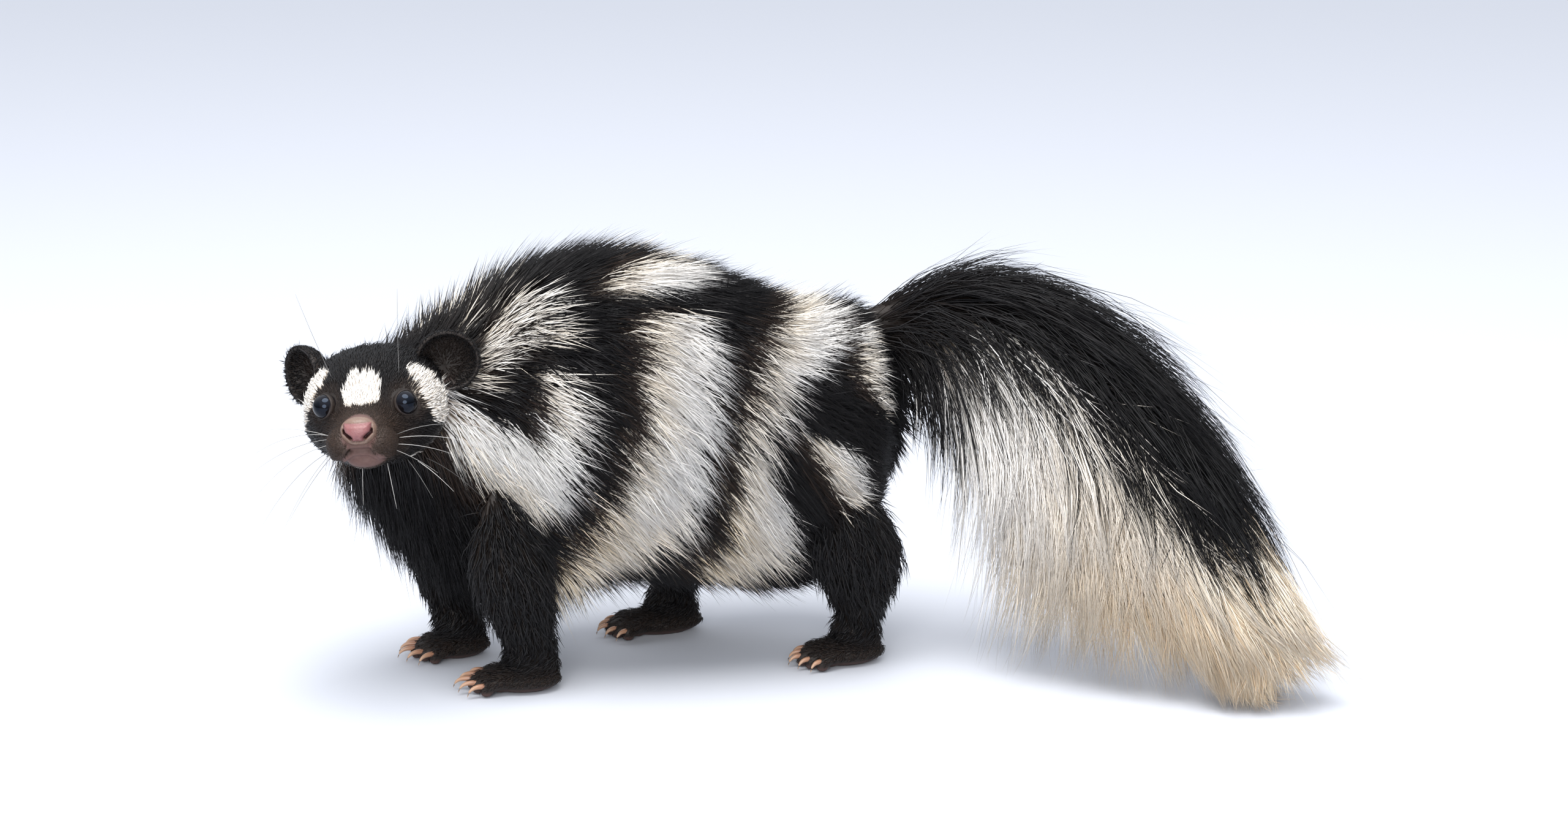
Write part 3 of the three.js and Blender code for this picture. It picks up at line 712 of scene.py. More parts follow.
coatHair = hairMaterial("short hair", 0.46)
longHair = hairMaterial("long tail hair", 0.42)
bareSkin = skinMaterial()
noseSkin = noseMaterial()
eyeGloss = eyeMaterial()
clawHorn = clawMaterial()
print("materials ready")


# Skin: clay forms, remeshed and joined

skinSizes = {
    "trunkDepth": 9.5, "neckDepth": 3.5, "legTopDepth": 8, "legDepth": 3.0, "headDepth": 1.2,
    "bodyVoxel": 1.4, "headVoxel": 0.55, "pawVoxel": 0.6, "tailBone": (6.5, 2.6),
}


def trunkDepth(share):
    return -lerp(skinSizes["neckDepth"], skinSizes["trunkDepth"], ease(0.0, 0.36, share))


def trunkSkinPoint(share, angle):
    return trunkPoint(share, angle, trunkDepth(share))


def trunkClay():
    rings = sweep(trunkSkinPoint, 60, 64)
    centre = np.array(trunkStations[-1][0:3])
    caps = [lerp(rings[-1], centre, t) + [push, 0, 0] for t, push in ((0.3, 1.6), (0.65, 2.6))]
    return closedRings(np.concatenate([rings, np.array(caps)]))


def legClay(name):
    def surface(share, angle):
        # thinner above, where the trunk's long coat covers it
        depth = lerp(skinSizes["legTopDepth"], skinSizes["legDepth"], ease(0.1, 0.6, share))
        return legPoint(name, share, angle, -depth)

    return closedRings(sweep(surface, 30, 28))


def tailClay():
    share = np.linspace(0, 0.97, 30)
    bone = smoothTable(tailStations, share)[:, 0:3]
    return closedRings(tube(bone, np.linspace(*skinSizes["tailBone"], 30), 14))


def headClay():
    def surface(share, angle):
        # deeper behind, where the coat is longer
        return headPoint(share, angle, -skinSizes["headDepth"] - 2.0 * ease(0.55, 1, share))

    extras = [
        ((6.3, 6.2, -5.2), (5.2, 6.4, 5.4)),  # whisker pads
        ((-6.3, 6.2, -5.2), (5.2, 6.4, 5.4)),
        ((0.9, 8, -10.7), (6.4, 5.6, 3.1)),  # chin
        ((0, 4.6, -1.4), (5.5, 4.4, 4.9)),  # behind the nose pad
    ]
    eggs = [closedInHead(egg(centre, radii)) for centre, radii in extras]
    return [closedRings(sweep(surface, 64, 64)), *eggs]


# Moves that shape the remeshed head: place, radius, how far out along the skin (both sides alike)
headSculpt = [
    ((13.6, 13.6, 6.6), 5.2, -1.0),  # eye sockets
    ((9.0, 10.5, 6.0), 4.2, -1.0),  # in front of the inner corners
    ((10.5, 21.5, 14.0), 5.0, 0.9),  # brows
    ((18.5, 27, -4.5), 8.0, 1.0),  # cheeks
    ((15.5, 18.5, -3.0), 4.6, 0.7),  # under the eyes
    ((0, 24, 17.5), 8.0, 0.8),  # forehead
    ((0, 12, 7.8), 3.4, -0.5),  # stop of the nose
    ((11.5, 12, -7.5), 3.6, 0.7),  # flews
]
mouthLine = [
    (0, 0.6, -6.9), (2.8, 1.1, -7.0), (5.2, 2.4, -8.0), (7.6, 4.6, -9.6), (10.4, 9.5, -10.6),
    (12.6, 16, -9.6),
]
philtrumLine = [(0, -0.8, -3.5), (0, 0.4, -6.9)]
mouthCut = {"wide": 0.8, "deep": 1.5, "lip": 0.7, "lipWide": 1.5}


def vertexNormals(mesh):
    flat = np.empty(len(mesh.vertices) * 3)
    mesh.vertex_normals.foreach_get("vector", flat)
    return flat.reshape(-1, 3)


def sculptHead(piece):
    points = bodyPoints(piece.data)
    normals = vertexNormals(piece.data)
    local = toHead(points)
    both = mirrored(local)
    push = np.zeros(len(points))
    for centre, radius, amount in headSculpt:
        push += amount * np.exp(-np.sum((both - centre) ** 2, axis=1) / (2 * (radius / 1.7) ** 2))
    away = lineDistance(both, mouthLine)
    push += mouthCut["lip"] * np.exp(-((away - mouthCut["lipWide"]) / 0.7) ** 2)
    push -= mouthCut["deep"] * np.exp(-(away / mouthCut["wide"]) ** 2)
    push -= 0.5 * np.exp(-(lineDistance(local, philtrumLine) / 0.6) ** 2)
    placePoints(piece.data, points + normals * push[:, None])


pawSizes = {
    "toes": (-1, -0.5, 0, 0.5, 1),  # places across the foot, in half widths
    # share of the toe's length, more ahead, height, radius
    "toeSteps": [
        (0, -3, 4.6, 2.2), (0, 0.5, 4.3, 2.35), (0.5, 0, 4.0, 2.3), (1, 0, 3.1, 1.9), (1, 1.4, 2.6, 1.1)
    ],
    "toePad": (2.1, 1.8, 1.5), "palmPads": (-0.66, 0, 0.66), "palmPad": (3.0, 2.5, 2.1),
    "claw": 8.5, "hindClaw": 0.8,
}


def fromPaw(place, local):
    turn = math.radians(place["heading"])
    p = np.atleast_2d(local)
    x = p[:, 0] * math.cos(turn) - p[:, 1] * math.sin(turn) + place["at"][0]
    y = p[:, 0] * math.sin(turn) + p[:, 1] * math.cos(turn) + place["at"][1]
    return np.column_stack([x, y, p[:, 2]])


def toeRoute(place, spread):
    root = np.array([-place["reach"] + 7 + abs(spread) * 2, spread * (place["wide"] - 2.6), 0])
    heading = np.array([-math.cos(spread * 0.34), math.sin(spread * 0.34), 0])
    return root, heading, 7.5 - 2.2 * spread * spread


def inPaw(place, rings):
    return closedRings(fromPaw(place, rings.reshape(-1, 3)).reshape(rings.shape))


def pawClay(name):
    place = pawPlaces[name]
    heel = place["sole"] - place["reach"]
    legEnd = legStations[name][-2]
    middle = ((heel - place["reach"]) / 2 + 1.5, 0, 3.9)
    parts = [inPaw(place, egg(middle, (place["sole"] / 2 - 1.6, place["wide"] - 0.8, 4.6)))]
    parts.append(inPaw(place, egg((0.5, 0, 9), (legEnd[5] - 2.2, legEnd[3] - 2, 11))))
    for spread in pawSizes["toes"]:
        root, heading, length = toeRoute(place, spread)
        steps = [(length * share + more, height) for share, more, height, _ in pawSizes["toeSteps"]]
        points = [root + heading * ahead + [0, 0, height] for ahead, height in steps]
        parts.append(inPaw(place, tube(points, [r for *_, r in pawSizes["toeSteps"]], 16)))
        pad = root + heading * (length - 0.4) + [0, 0, 1.7]
        parts.append(inPaw(place, egg(pad, pawSizes["toePad"], 16, 10)))
    for spread in pawSizes["palmPads"]:
        parts.append(inPaw(place, egg((-place["reach"] + 9, spread * 6, 2.3), pawSizes["palmPad"], 16, 10)))
    return parts


def flattenSoles(piece):
    points = bodyPoints(piece.data)
    points[:, 2] = np.maximum(points[:, 2], 0.0)
    placePoints(piece.data, points)


def unite(target, other):
    cut = target.modifiers.new("join", "BOOLEAN")
    cut.operation = "UNION"
    cut.solver = "MANIFOLD"
    cut.object = other
    applied(target)
    dropPiece(other)


def buildSkin():
    body = [trunkClay(), tailClay(), *[legClay(name) for name in legStations]]
    skin = remeshed("skin", body, skinSizes["bodyVoxel"], 3)
    head = remeshed("headClay", headClay(), skinSizes["headVoxel"], 4)
    sculptHead(head)
    unite(skin, head)
    for name in legStations:
        paw = remeshed("pawClay_" + name, pawClay(name), skinSizes["pawVoxel"], 3)
        flattenSoles(paw)
        unite(skin, paw)
    return skin


skin = buildSkin()
print("skin joined:", len(skin.data.polygons), "faces")


# Lids: a rolled rim round each eyeball. Steps are degrees outside the opening and shares of the radius.

lidSizes = {
    "open": (73, 70), "around": 72, "corner": 9, "cornerTurn": math.pi * 1.06,
    "profile": [
        (1, 0.985), (-1.0, 1.01), (0.5, 1.035), (4, 1.055), (10, 1.06), (18, 1.03), (28, 0.97), (38, 0.88),
        (38, 0.80), (18, 0.90),
    ],
}


def gazeFrame(side):
    gaze = unit(np.array([0.62 * side, -0.75, 0.22]))
    across = unit(np.cross(gaze, [0, 0, 1.0])) * side
    return gaze, across, np.cross(across, gaze) * side


def onEye(side, turn, spread, radius):
    # a place round the eyeball: turn about the gaze, spread away from it, distance from the middle
    gaze, across, up = gazeFrame(side)
    turn, spread, radius = [np.reshape(v, (-1, 1)) for v in np.broadcast_arrays(turn, spread, radius)]
    ring = across * np.cos(turn) + up * np.sin(turn)
    local = np.array([eyeAt[0] * side, eyeAt[1], eyeAt[2]])
    return fromHead(local + radius * (gaze * np.cos(spread) + ring * np.sin(spread)))


def loopFaces(rings, sides):
    # faces of a closed band: rings in a circle, each a closed loop of sides
    faces = []
    for r in range(rings):
        for s in range(sides):
            a, b = r * sides + s, r * sides + (s + 1) % sides
            c, d = ((r + 1) % rings) * sides + s, ((r + 1) % rings) * sides + (s + 1) % sides
            faces.append((a, b, d, c))
    return faces


def lidShell(side):
    wideOpen, tallOpen = lidSizes["open"]
    turns = np.arange(lidSizes["around"]) * 2 * math.pi / lidSizes["around"]
    rings = []
    for turn in turns:
        opening = lerp(tallOpen, wideOpen, math.cos(turn) ** 2)
        fromCorner = math.cos(turn - lidSizes["cornerTurn"]) - 1
        opening += lidSizes["corner"] * math.exp(-(fromCorner / 0.07) ** 2)
        steps = np.array(lidSizes["profile"], float)
        rings.append(onEye(side, turn, np.radians(opening + steps[:, 0]), eyeRadius * steps[:, 1]))
    sides = len(lidSizes["profile"])
    return np.concatenate(rings), loopFaces(len(rings), sides)


# Ears: round cups, thin at the rim, with a fold inside

earSizes = {"depth": 5.4, "wall": 1.1, "rim": -1.9}
# the near ear is turned to the front and the far ear out to its side
earPoses = {
    1: {"at": (23.4, 43, 14.9), "facing": 15, "radius": 10.3},
    -1: {"at": (23.6, 43, 12.6), "facing": 50, "radius": 9.9},
}


def earPose(side, key):
    # the pose of each point's own ear
    left = np.reshape(np.atleast_1d(side) > 0, (-1, 1))
    return np.where(left, np.atleast_1d(earPoses[1][key]), np.atleast_1d(earPoses[-1][key]))


def earPlace(side, turn, reach, inner):
    # on the outer or the inner face of the cup: turn about its axis, reach 0 in the middle, 1 at the rim
    turn, reach = np.broadcast_arrays(turn, reach)
    radius = earPoses[side]["radius"] * (1 + 0.035 * np.cos(2 * turn + 0.4) - 0.05 * np.cos(turn - 2.4))
    bowl = np.cos(reach * math.pi / 2)
    depth = earSizes["depth"] * 1.25
    x = np.sin(reach * math.pi / 2) * radius * np.cos(turn)
    z = np.sin(reach * math.pi / 2) * radius * np.sin(turn)
    y = earSizes["rim"] + bowl ** 0.9 * (depth - earSizes["rim"])
    if inner:
        fold = np.exp(-((reach - 0.62) / 0.13) ** 2) * ease(-0.9, 0.2, -np.sin(turn + 0.5))
        canal = np.exp(-((reach - 0.3) / 0.2) ** 2) * ease(0.3, 1, np.cos(turn + 2.4))
        x = x * (1 - earSizes["wall"] / radius)
        z = z * (1 - earSizes["wall"] / radius)
        y = y - earSizes["wall"] * bowl - 1.5 * fold * bowl + 1.0 * canal
    lean = math.radians(side * earPoses[side]["facing"])
    x = x * side
    placed = np.stack([
        x * math.cos(lean) - y * math.sin(lean), x * math.sin(lean) + y * math.cos(lean), z
    ], axis=-1).reshape(-1, 3)
    at = earPoses[side]["at"]
    return fromHead(placed + [at[0] * side, at[1], at[2]])


def earShell(side):
    around, steps = 72, 18
    turns = np.arange(around) * 2 * math.pi / around
    outer = [earPlace(side, turns, reach, False) for reach in np.linspace(0.04, 0.995, steps)]
    inner = [earPlace(side, turns, reach, True) for reach in np.linspace(0.985, 0.04, steps)]
    rim = (outer[-1] + inner[0]) / 2 + (fromHead([0, -0.35, 0]) - fromHead([0, 0, 0]))
    return closedRings(np.array([*outer, rim, *inner]))


def addShells(target, shells):
    # joins closed shells to the skin's mesh
    extra = finishMesh("shells", *joined(shells))
    with bpy.context.temp_override(active_object=target, selected_editable_objects=[target, extra]):
        bpy.ops.object.join()


def outwardShell(shell):
    # turns a closed shell's faces outwards
    points, faces = shell
    centre = points.mean(0)
    volume = 0
    for face in faces:
        p = points[list(face)] - centre
        for k in range(1, len(face) - 1):
            volume += np.dot(p[0], np.cross(p[k], p[k + 1]))
    if volume < 0:
        faces = [tuple(reversed(face)) for face in faces]
    return points, faces


earShells = [outwardShell(earShell(side)) for side in (1, -1)]
addShells(skin, [*[outwardShell(lidShell(side)) for side in (1, -1)], *earShells])
earPoints = sum(len(points) for points, _ in earShells)


# Eyes: a ball with a cornea, and its dark middle, iris and pale edge written on the mesh

def buildEye(name, side):
    rings, sides = 48, 72
    spread = np.linspace(math.pi, 0.02, rings)
    turns = np.arange(sides) * 2 * math.pi / sides
    grid = []
    for s in spread:
        bulge = 1 + 0.045 * math.exp(-(s / math.radians(30)) ** 2)
        grid.append(onEye(side, turns, s, eyeRadius * 0.995 * bulge))
    eye = finishMesh(name, *outwardShell(closedRings(np.array(grid))), eyeGloss)
    degrees = np.degrees(np.append(np.repeat(spread, sides), [math.pi, 0]))
    turn = np.append(np.tile(turns, rings), [0, 0])
    corner = np.exp(-((np.cos(turn - lidSizes["cornerTurn"]) - 1) / 0.12) ** 2)
    rim = ease(66, 71, degrees) * 0.5 * ease(0.2, 0.9, -np.sin(turn - 0.5)) + corner * ease(62, 69, degrees)
    writeValues(eye.data, {"pupil": ease(27, 22, degrees), "rim": np.clip(rim, 0, 1)})
    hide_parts(name.replace("ball", "eye"))
    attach(eye, "root")


buildEye("ball_left", 1)
buildEye("ball_right", -1)


# Nose: a pink pad, wide above and narrow below, with a pale fold round it and curved nostrils between

nosePad = {
    "centre": (0, 2.3, -0.6), "half": (5.9, 4.3, 4.5),
    "padTop": 3.0, "padFoot": -2.9, "padWide": (1.9, 4.5),
    "nostril": [(4.5, 0.6), (4.3, -0.2), (3.3, -1.0), (2.4, -1.7)],
    "deep": 2.0, "grooveDeep": 0.55, "bulge": 0.75,
}


def buildNose():
    rings, sides = 110, 132
    polar = np.linspace(math.pi - 0.01, 0.01, rings)
    turns = np.arange(sides) * 2 * math.pi / sides
    polar, turn = [v.ravel() for v in np.meshgrid(polar, turns, indexing="ij")]
    half = nosePad["half"]
    x = shaped(np.cos(turn), 2.2) * np.sin(polar) * half[0]
    z = shaped(np.sin(turn), 2.2) * np.sin(polar) * half[2]
    y = -np.cos(polar) * half[1]
    front = ease(0, 0.45, np.cos(polar))
    across = np.abs(x)
    low, high = nosePad["padWide"]
    wide = lerp(low, high, ease(nosePad["padFoot"] + 0.6, 0.9, z))
    inside = np.minimum(wide - across, np.minimum(z - nosePad["padFoot"], nosePad["padTop"] - z))
    crease = np.exp(-(inside / 0.34) ** 2) * ease(3.2, 2.0, z)
    slit = lineDistance(np.column_stack([across, z]), nosePad["nostril"])
    hole = np.exp(-(slit / lerp(0.6, 0.35, ease(-0.6, 0.6, z))) ** 2)
    y = y - nosePad["bulge"] * ease(-0.1, 1.5, inside) * front
    y = y - 0.35 * np.exp(-((inside + 1.0) / 0.7) ** 2) * front
    y = y + (nosePad["grooveDeep"] * crease + nosePad["deep"] * hole) * front
    y = y + 0.35 * np.exp(-(x / 0.45) ** 2) * ease(-0.4, -2.6, z) * front
    local = np.column_stack([x, y, z]) + nosePad["centre"]
    pad = finishMesh("nose_pad", *outwardShell(closedInHead(local.reshape(rings, sides, 3))), noseSkin)
    # dark is painted shade, full in the nostrils and half in the groove round the pad
    dark = np.maximum(ease(0.15, 0.7, hole), 0.5 * crease) * front
    pink = ease(-0.2, 0.25, inside) * front
    writeValues(pad.data, {"dark": np.append(dark, [0, 0]), "pink": np.append(pink, [0, 0])})
    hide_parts("nose")
    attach(pad, "root")


buildNose()


# Claws: curved horn, sunk in the ends of the toes

def buildClaws():
    parts, along = [], []
    for name, place in pawPlaces.items():
        size = pawSizes["claw"] * (1.0 if name.startswith("front") else pawSizes["hindClaw"])
        for spread in pawSizes["toes"]:
            root, heading, length = toeRoute(place, spread)
            steps = np.linspace(0, 1, 12)
            ahead = length - 1.6 + size * 0.95 * np.sin(steps * 1.35) / math.sin(1.35)
            height = 3.5 + size * 0.16 * np.sin(steps * 2.2) - (3.1 + size * 0.05) * steps ** 2.4
            upright = np.array([0, 0, 1]) * np.maximum(height, 0.35)[:, None]
            points = root + heading * ahead[:, None] + upright
            radii = 1.0 * (1 - steps ** 1.7) + 0.06
            rings = tube(points, radii, 12)
            parts.append(outwardShell(inPaw(place, rings)))
            along += [*np.repeat(steps, 12), 0, 1]
    claws = finishMesh("claws", *joined(parts), clawHorn)
    writeValues(claws.data, {"along": along})
    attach(claws, "root")


buildClaws()
print("lids, ears, eyes, nose and claws made")


# Where the skin is, for rooting the coat and reading its markings

def treeOf(piece):
    mesh = piece.data
    corners = bodyPoints(mesh)
    faces = [tuple(f.vertices) for f in mesh.polygons]
    return BVHTree.FromPolygons([Vector(p) for p in corners], faces)


skinTree = treeOf(skin)


def onSkin(points, reach=60.0):
    # nearest place and normal of the skin for each point
    spots, normals = np.array(points, float), np.tile([0, 0, 1.0], (len(points), 1))
    for k, p in enumerate(points):
        spot, normal, _, _ = skinTree.find_nearest(Vector(p), reach)
        if spot is not None:
            spots[k], normals[k] = spot, normal
    return spots, normals


def depthUnderSkin(points):
    # how deep each point lies inside the skin; negative outside
    spots, normals = onSkin(points)
    return rowDot(spots - points, normals)[:, 0]


def evenRoots(surface, count, seed, low, high, density=None):
    # roots spread evenly over a surface by its area, or by area times density(angle)
    rows, columns = 120, 96
    share = np.linspace(low, high, rows + 1)
    angle = np.linspace(0, 2 * math.pi, columns + 1)
    grid = surface(np.repeat(share, columns + 1), np.tile(angle, rows + 1))
    grid = grid.reshape(rows + 1, columns + 1, 3)
    stepShare = np.diff(grid, axis=0)[:, :-1]
    stepAngle = np.diff(grid, axis=1)[:-1]
    area = np.linalg.norm(np.cross(stepShare, stepAngle), axis=2)
    if density:
        area = area * density((angle[:-1] + angle[1:]) / 2)
    steps = np.arange(count) + 0.5
    first = (steps * 0.7548776662) % 1
    second = (steps * 0.5698402910) % 1
    draw = np.random.default_rng(seed)
    rowSum = np.concatenate([[0], np.cumsum(area.sum(1))])
    shares = np.interp(first * rowSum[-1], rowSum, share)
    inRow = np.clip(((shares - low) / (high - low) * rows).astype(int), 0, rows - 1)
    angles = np.empty(count)
    for r in range(rows):
        chosen = inRow == r
        if chosen.any():
            columnSum = np.concatenate([[0], np.cumsum(area[r])])
            angles[chosen] = np.interp(second[chosen] * columnSum[-1], columnSum, angle)
    shares = np.clip(shares + draw.normal(0, 0.15 / rows, count), low, high)
    return shares, angles + draw.normal(0, 0.02, count)


# Tufts: thin, tapered, three-sided strands, many to a mesh

def tuftFaces(rings):
    # corners of the faces of one tuft with that many rings and a tip
    faces = [(0, 1, 2)]
    for k in range(rings - 1):
        for s in range(3):
            a, b = 3 * k + s, 3 * k + (s + 1) % 3
            faces += [(a, a + 3, b), (b, a + 3, b + 3)]
    last, tip = 3 * (rings - 1), 3 * rings
    for s in range(3):
        faces.append((last + s, tip, last + (s + 1) % 3))
    return np.array(faces)


toneNames = ("white", "warm", "stain", "umber", "vary")


def hairTones(draw, white, warm=0.0, stain=0.0, umber=0.0):
    # the tones of each tuft, that hairMaterial reads
    tones = dict(zip(toneNames, [value + np.zeros(len(white)) for value in (white, warm, stain, umber)]))
    tones["vary"] = draw.uniform(0, 1, len(white))
    return tones


def tuftMesh(name, tufts, profile, material):
    # tufts holds for each tuft its route (the last place is the tip), outward way, half width,
    # spot on the unwrap and tones
    route, outward, halfWidth, places = [tufts[key] for key in ("route", "outward", "halfWidth", "places")]
    count, steps = route.shape[:2]
    rings = steps - 1
    route[:, :, 2] = np.maximum(route[:, :, 2], floorClear)
    ahead = unit(np.gradient(route, axis=1))
    side = unit(np.cross(ahead, outward[:, None, :]))
    off = np.cross(side, ahead)
    wide = halfWidth[:, None, None] * np.array(profile)[None, :, None]
    base = route[:, :rings]
    left = base + side[:, :rings] * wide
    ridge = base + off[:, :rings] * wide * 0.75
    right = base - side[:, :rings] * wide
    body = np.stack([left, ridge, right], axis=2).reshape(count, rings * 3, 3)
    points = np.concatenate([body, route[:, rings:]], axis=1).reshape(-1, 3)
    points[:, 2] = np.maximum(points[:, 2], floorClear)
    perTuft = rings * 3 + 1
    pattern = tuftFaces(rings)
    corners = (pattern[None] + (np.arange(count) * perTuft)[:, None, None]).reshape(-1)
    mesh = bpy.data.meshes.new(name)
    mesh.vertices.add(len(points))
    mesh.vertices.foreach_set("co", ((points + frameShift) * mm).ravel())
    mesh.loops.add(len(corners))
    mesh.loops.foreach_set("vertex_index", corners)
    mesh.polygons.add(len(corners) // 3)
    mesh.polygons.foreach_set("loop_start", np.arange(0, len(corners), 3))
    mesh.update(calc_edges=True)
    mesh.polygons.foreach_set("use_smooth", np.ones(len(mesh.polygons), bool))
    along = np.concatenate([np.repeat(np.linspace(0, 1, steps)[:rings], 3), [1.0]])
    across = np.concatenate([np.tile([-1.0, 0.0, 1.0], rings), [0.0]])
    patch = 0.0015 * np.stack([across, along * 2 - 1], axis=1)
    spots = (places[:, None, :] + patch[None]).reshape(-1, 2)
    layer = mesh.uv_layers.new(name="OFBake")
    layer.uv.foreach_set("vector", spots[corners].ravel())
    writeValues(mesh, {key: np.repeat(tufts[key], perTuft) for key in toneNames})
    writeValues(mesh, {"along": np.tile(along, count)})
    mesh.materials.append(material)
    piece = bpy.data.objects.new(name, mesh)
    bpy.context.scene.collection.objects.link(piece)
    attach(piece, "root")
    return piece


def tuftPieces(parts, tufts, profile, material):
    # one mesh for each named part of the tufts
    pieces = []
    for name, part in parts.items():
        chosen = {key: value[part] for key, value in tufts.items()}
        pieces.append(tuftMesh(name, chosen, profile, material))
    return pieces


def unwrapPlace(share, angle, low, high):
    # a root's spot on the flat unwrap of its own length of the skin, inside a small border
    u = (np.asarray(angle) % (2 * math.pi)) / (2 * math.pi)
    v = (np.clip(share, low, high) - low) / (high - low)
    return 0.01 + 0.98 * np.column_stack([u, v])


def cutAlong(pieceShares, share, angle):
    # the tufts of each piece, and their roots' spots on that piece's unwrap
    parts, places = {}, np.zeros((len(share), 2))
    for name, (low, high) in pieceShares.items():
        part = (share >= low) & (share < high)
        parts[name] = part
        places[part] = unwrapPlace(share[part], angle[part], max(low, 0), min(high, 1))
    return parts, places


def chosenWhite(amount, draw):
    # each tuft is white or black; near an edge some of both stand side by side
    return (amount > draw.uniform(0.12, 0.88, len(amount))).astype(float)


trunkCoat = {
    "tufts": 60000, "seed": 11, "halfWidth": 0.27, "profile": (0.75, 1.0), "steps": (0, 0.45, 1.0),
    "clump": 0.4, "cell": 6.5, "tipSpread": 1.9, "stretch": 1.0, "rise": 0.0,
}
trunkWisps = {
    "tufts": 5600, "seed": 12, "halfWidth": 0.12, "profile": (0.8, 1.0, 0.7), "steps": (0, 0.35, 0.7, 1.0),
    "clump": 0.1, "cell": 5.0, "tipSpread": 2.0, "stretch": 1.22, "rise": 2.4,
}
trunkPieces = {
    "coat_neck": (0.0, 0.3), "coat_shoulders": (0.3, 0.45), "coat_ribs": (0.45, 0.575),
    "coat_flank": (0.575, 0.70), "coat_hips": (0.70, 0.84), "coat_rump": (0.84, 1.0),
}


trunkHair = {
    "length": 23, "shorterFront": 8, "shorterBelly": 3, "longerBack": 2, "longerChest": 6,
    "run": 0.86, "napeRun": 0.3, "hangingRun": 0.35, "droop": 0.20,
    "strays": 0.035, "strayLift": (2, 5.5), "napeLift": 7.0, "mostLift": 8, "fringe": (3, 17),
}


def trunkLie(share, angle):
    # the hair's length, the share of it that runs along the body, its droop round towards the belly,
    # how far it is the raised nape and how far the hanging fringe
    hair = trunkHair
    back = np.clip(np.sin(angle), 0, 1)
    belly = np.clip(-np.sin(angle), 0, 1)
    front = ease(0.42, 0.12, share)
    length = hair["length"] - hair["shorterFront"] * front - hair["shorterBelly"] * belly
    length = length + hair["longerBack"] * back
    length = length * lerp(1, 0.8, ease(0.1, 0.0, share))
    nape = ease(0.50, 0.2, share) * ease(0.45, 0.95, back) * ease(0.12, 0.30, share)
    length = length * lerp(1, 0.6, ease(0.22, 0.06, share) * back)
    # behind the elbow the belly hair hangs down past the body
    hang = ease(0.20, 0.32, share) * ease(0.52, 0.40, share) * ease(0.72, 0.93, belly)
    # and the chest and throat are shaggy
    chest = ease(0.36, 0.24, share) * ease(0.25, 0.7, belly)
    length = length + hair["longerChest"] * chest
    hang = np.maximum(hang, 0.75 * chest)
    run = lerp(lerp(hair["run"], hair["napeRun"], nape), hair["hangingRun"], hang)
    droop = hair["droop"] * np.abs(np.cos(angle)) + 0.03
    return length, run, droop, nape, hang


def trunkPace(share, angle, step=0.01):
    # millimetres to a whole share of the trunk at each root
    near = trunkPoint(share - step, angle, -4)
    far = trunkPoint(share + step, angle, -4)
    return np.maximum(np.linalg.norm(far - near, axis=1) / (2 * step), 60)


def trunkBeyond(share, angle, lift):
    # the trunk's surface carried past the rump, where the hair streams back and down
    over = np.maximum(share - 1, 0)[:, None] * 75
    edge = trunkPoint(share, angle, lift)
    inward = unit(np.array(trunkStations[-1][0:3]) - edge)
    return edge + over * (np.array([0.8, 0, -0.35]) + 0.25 * inward)


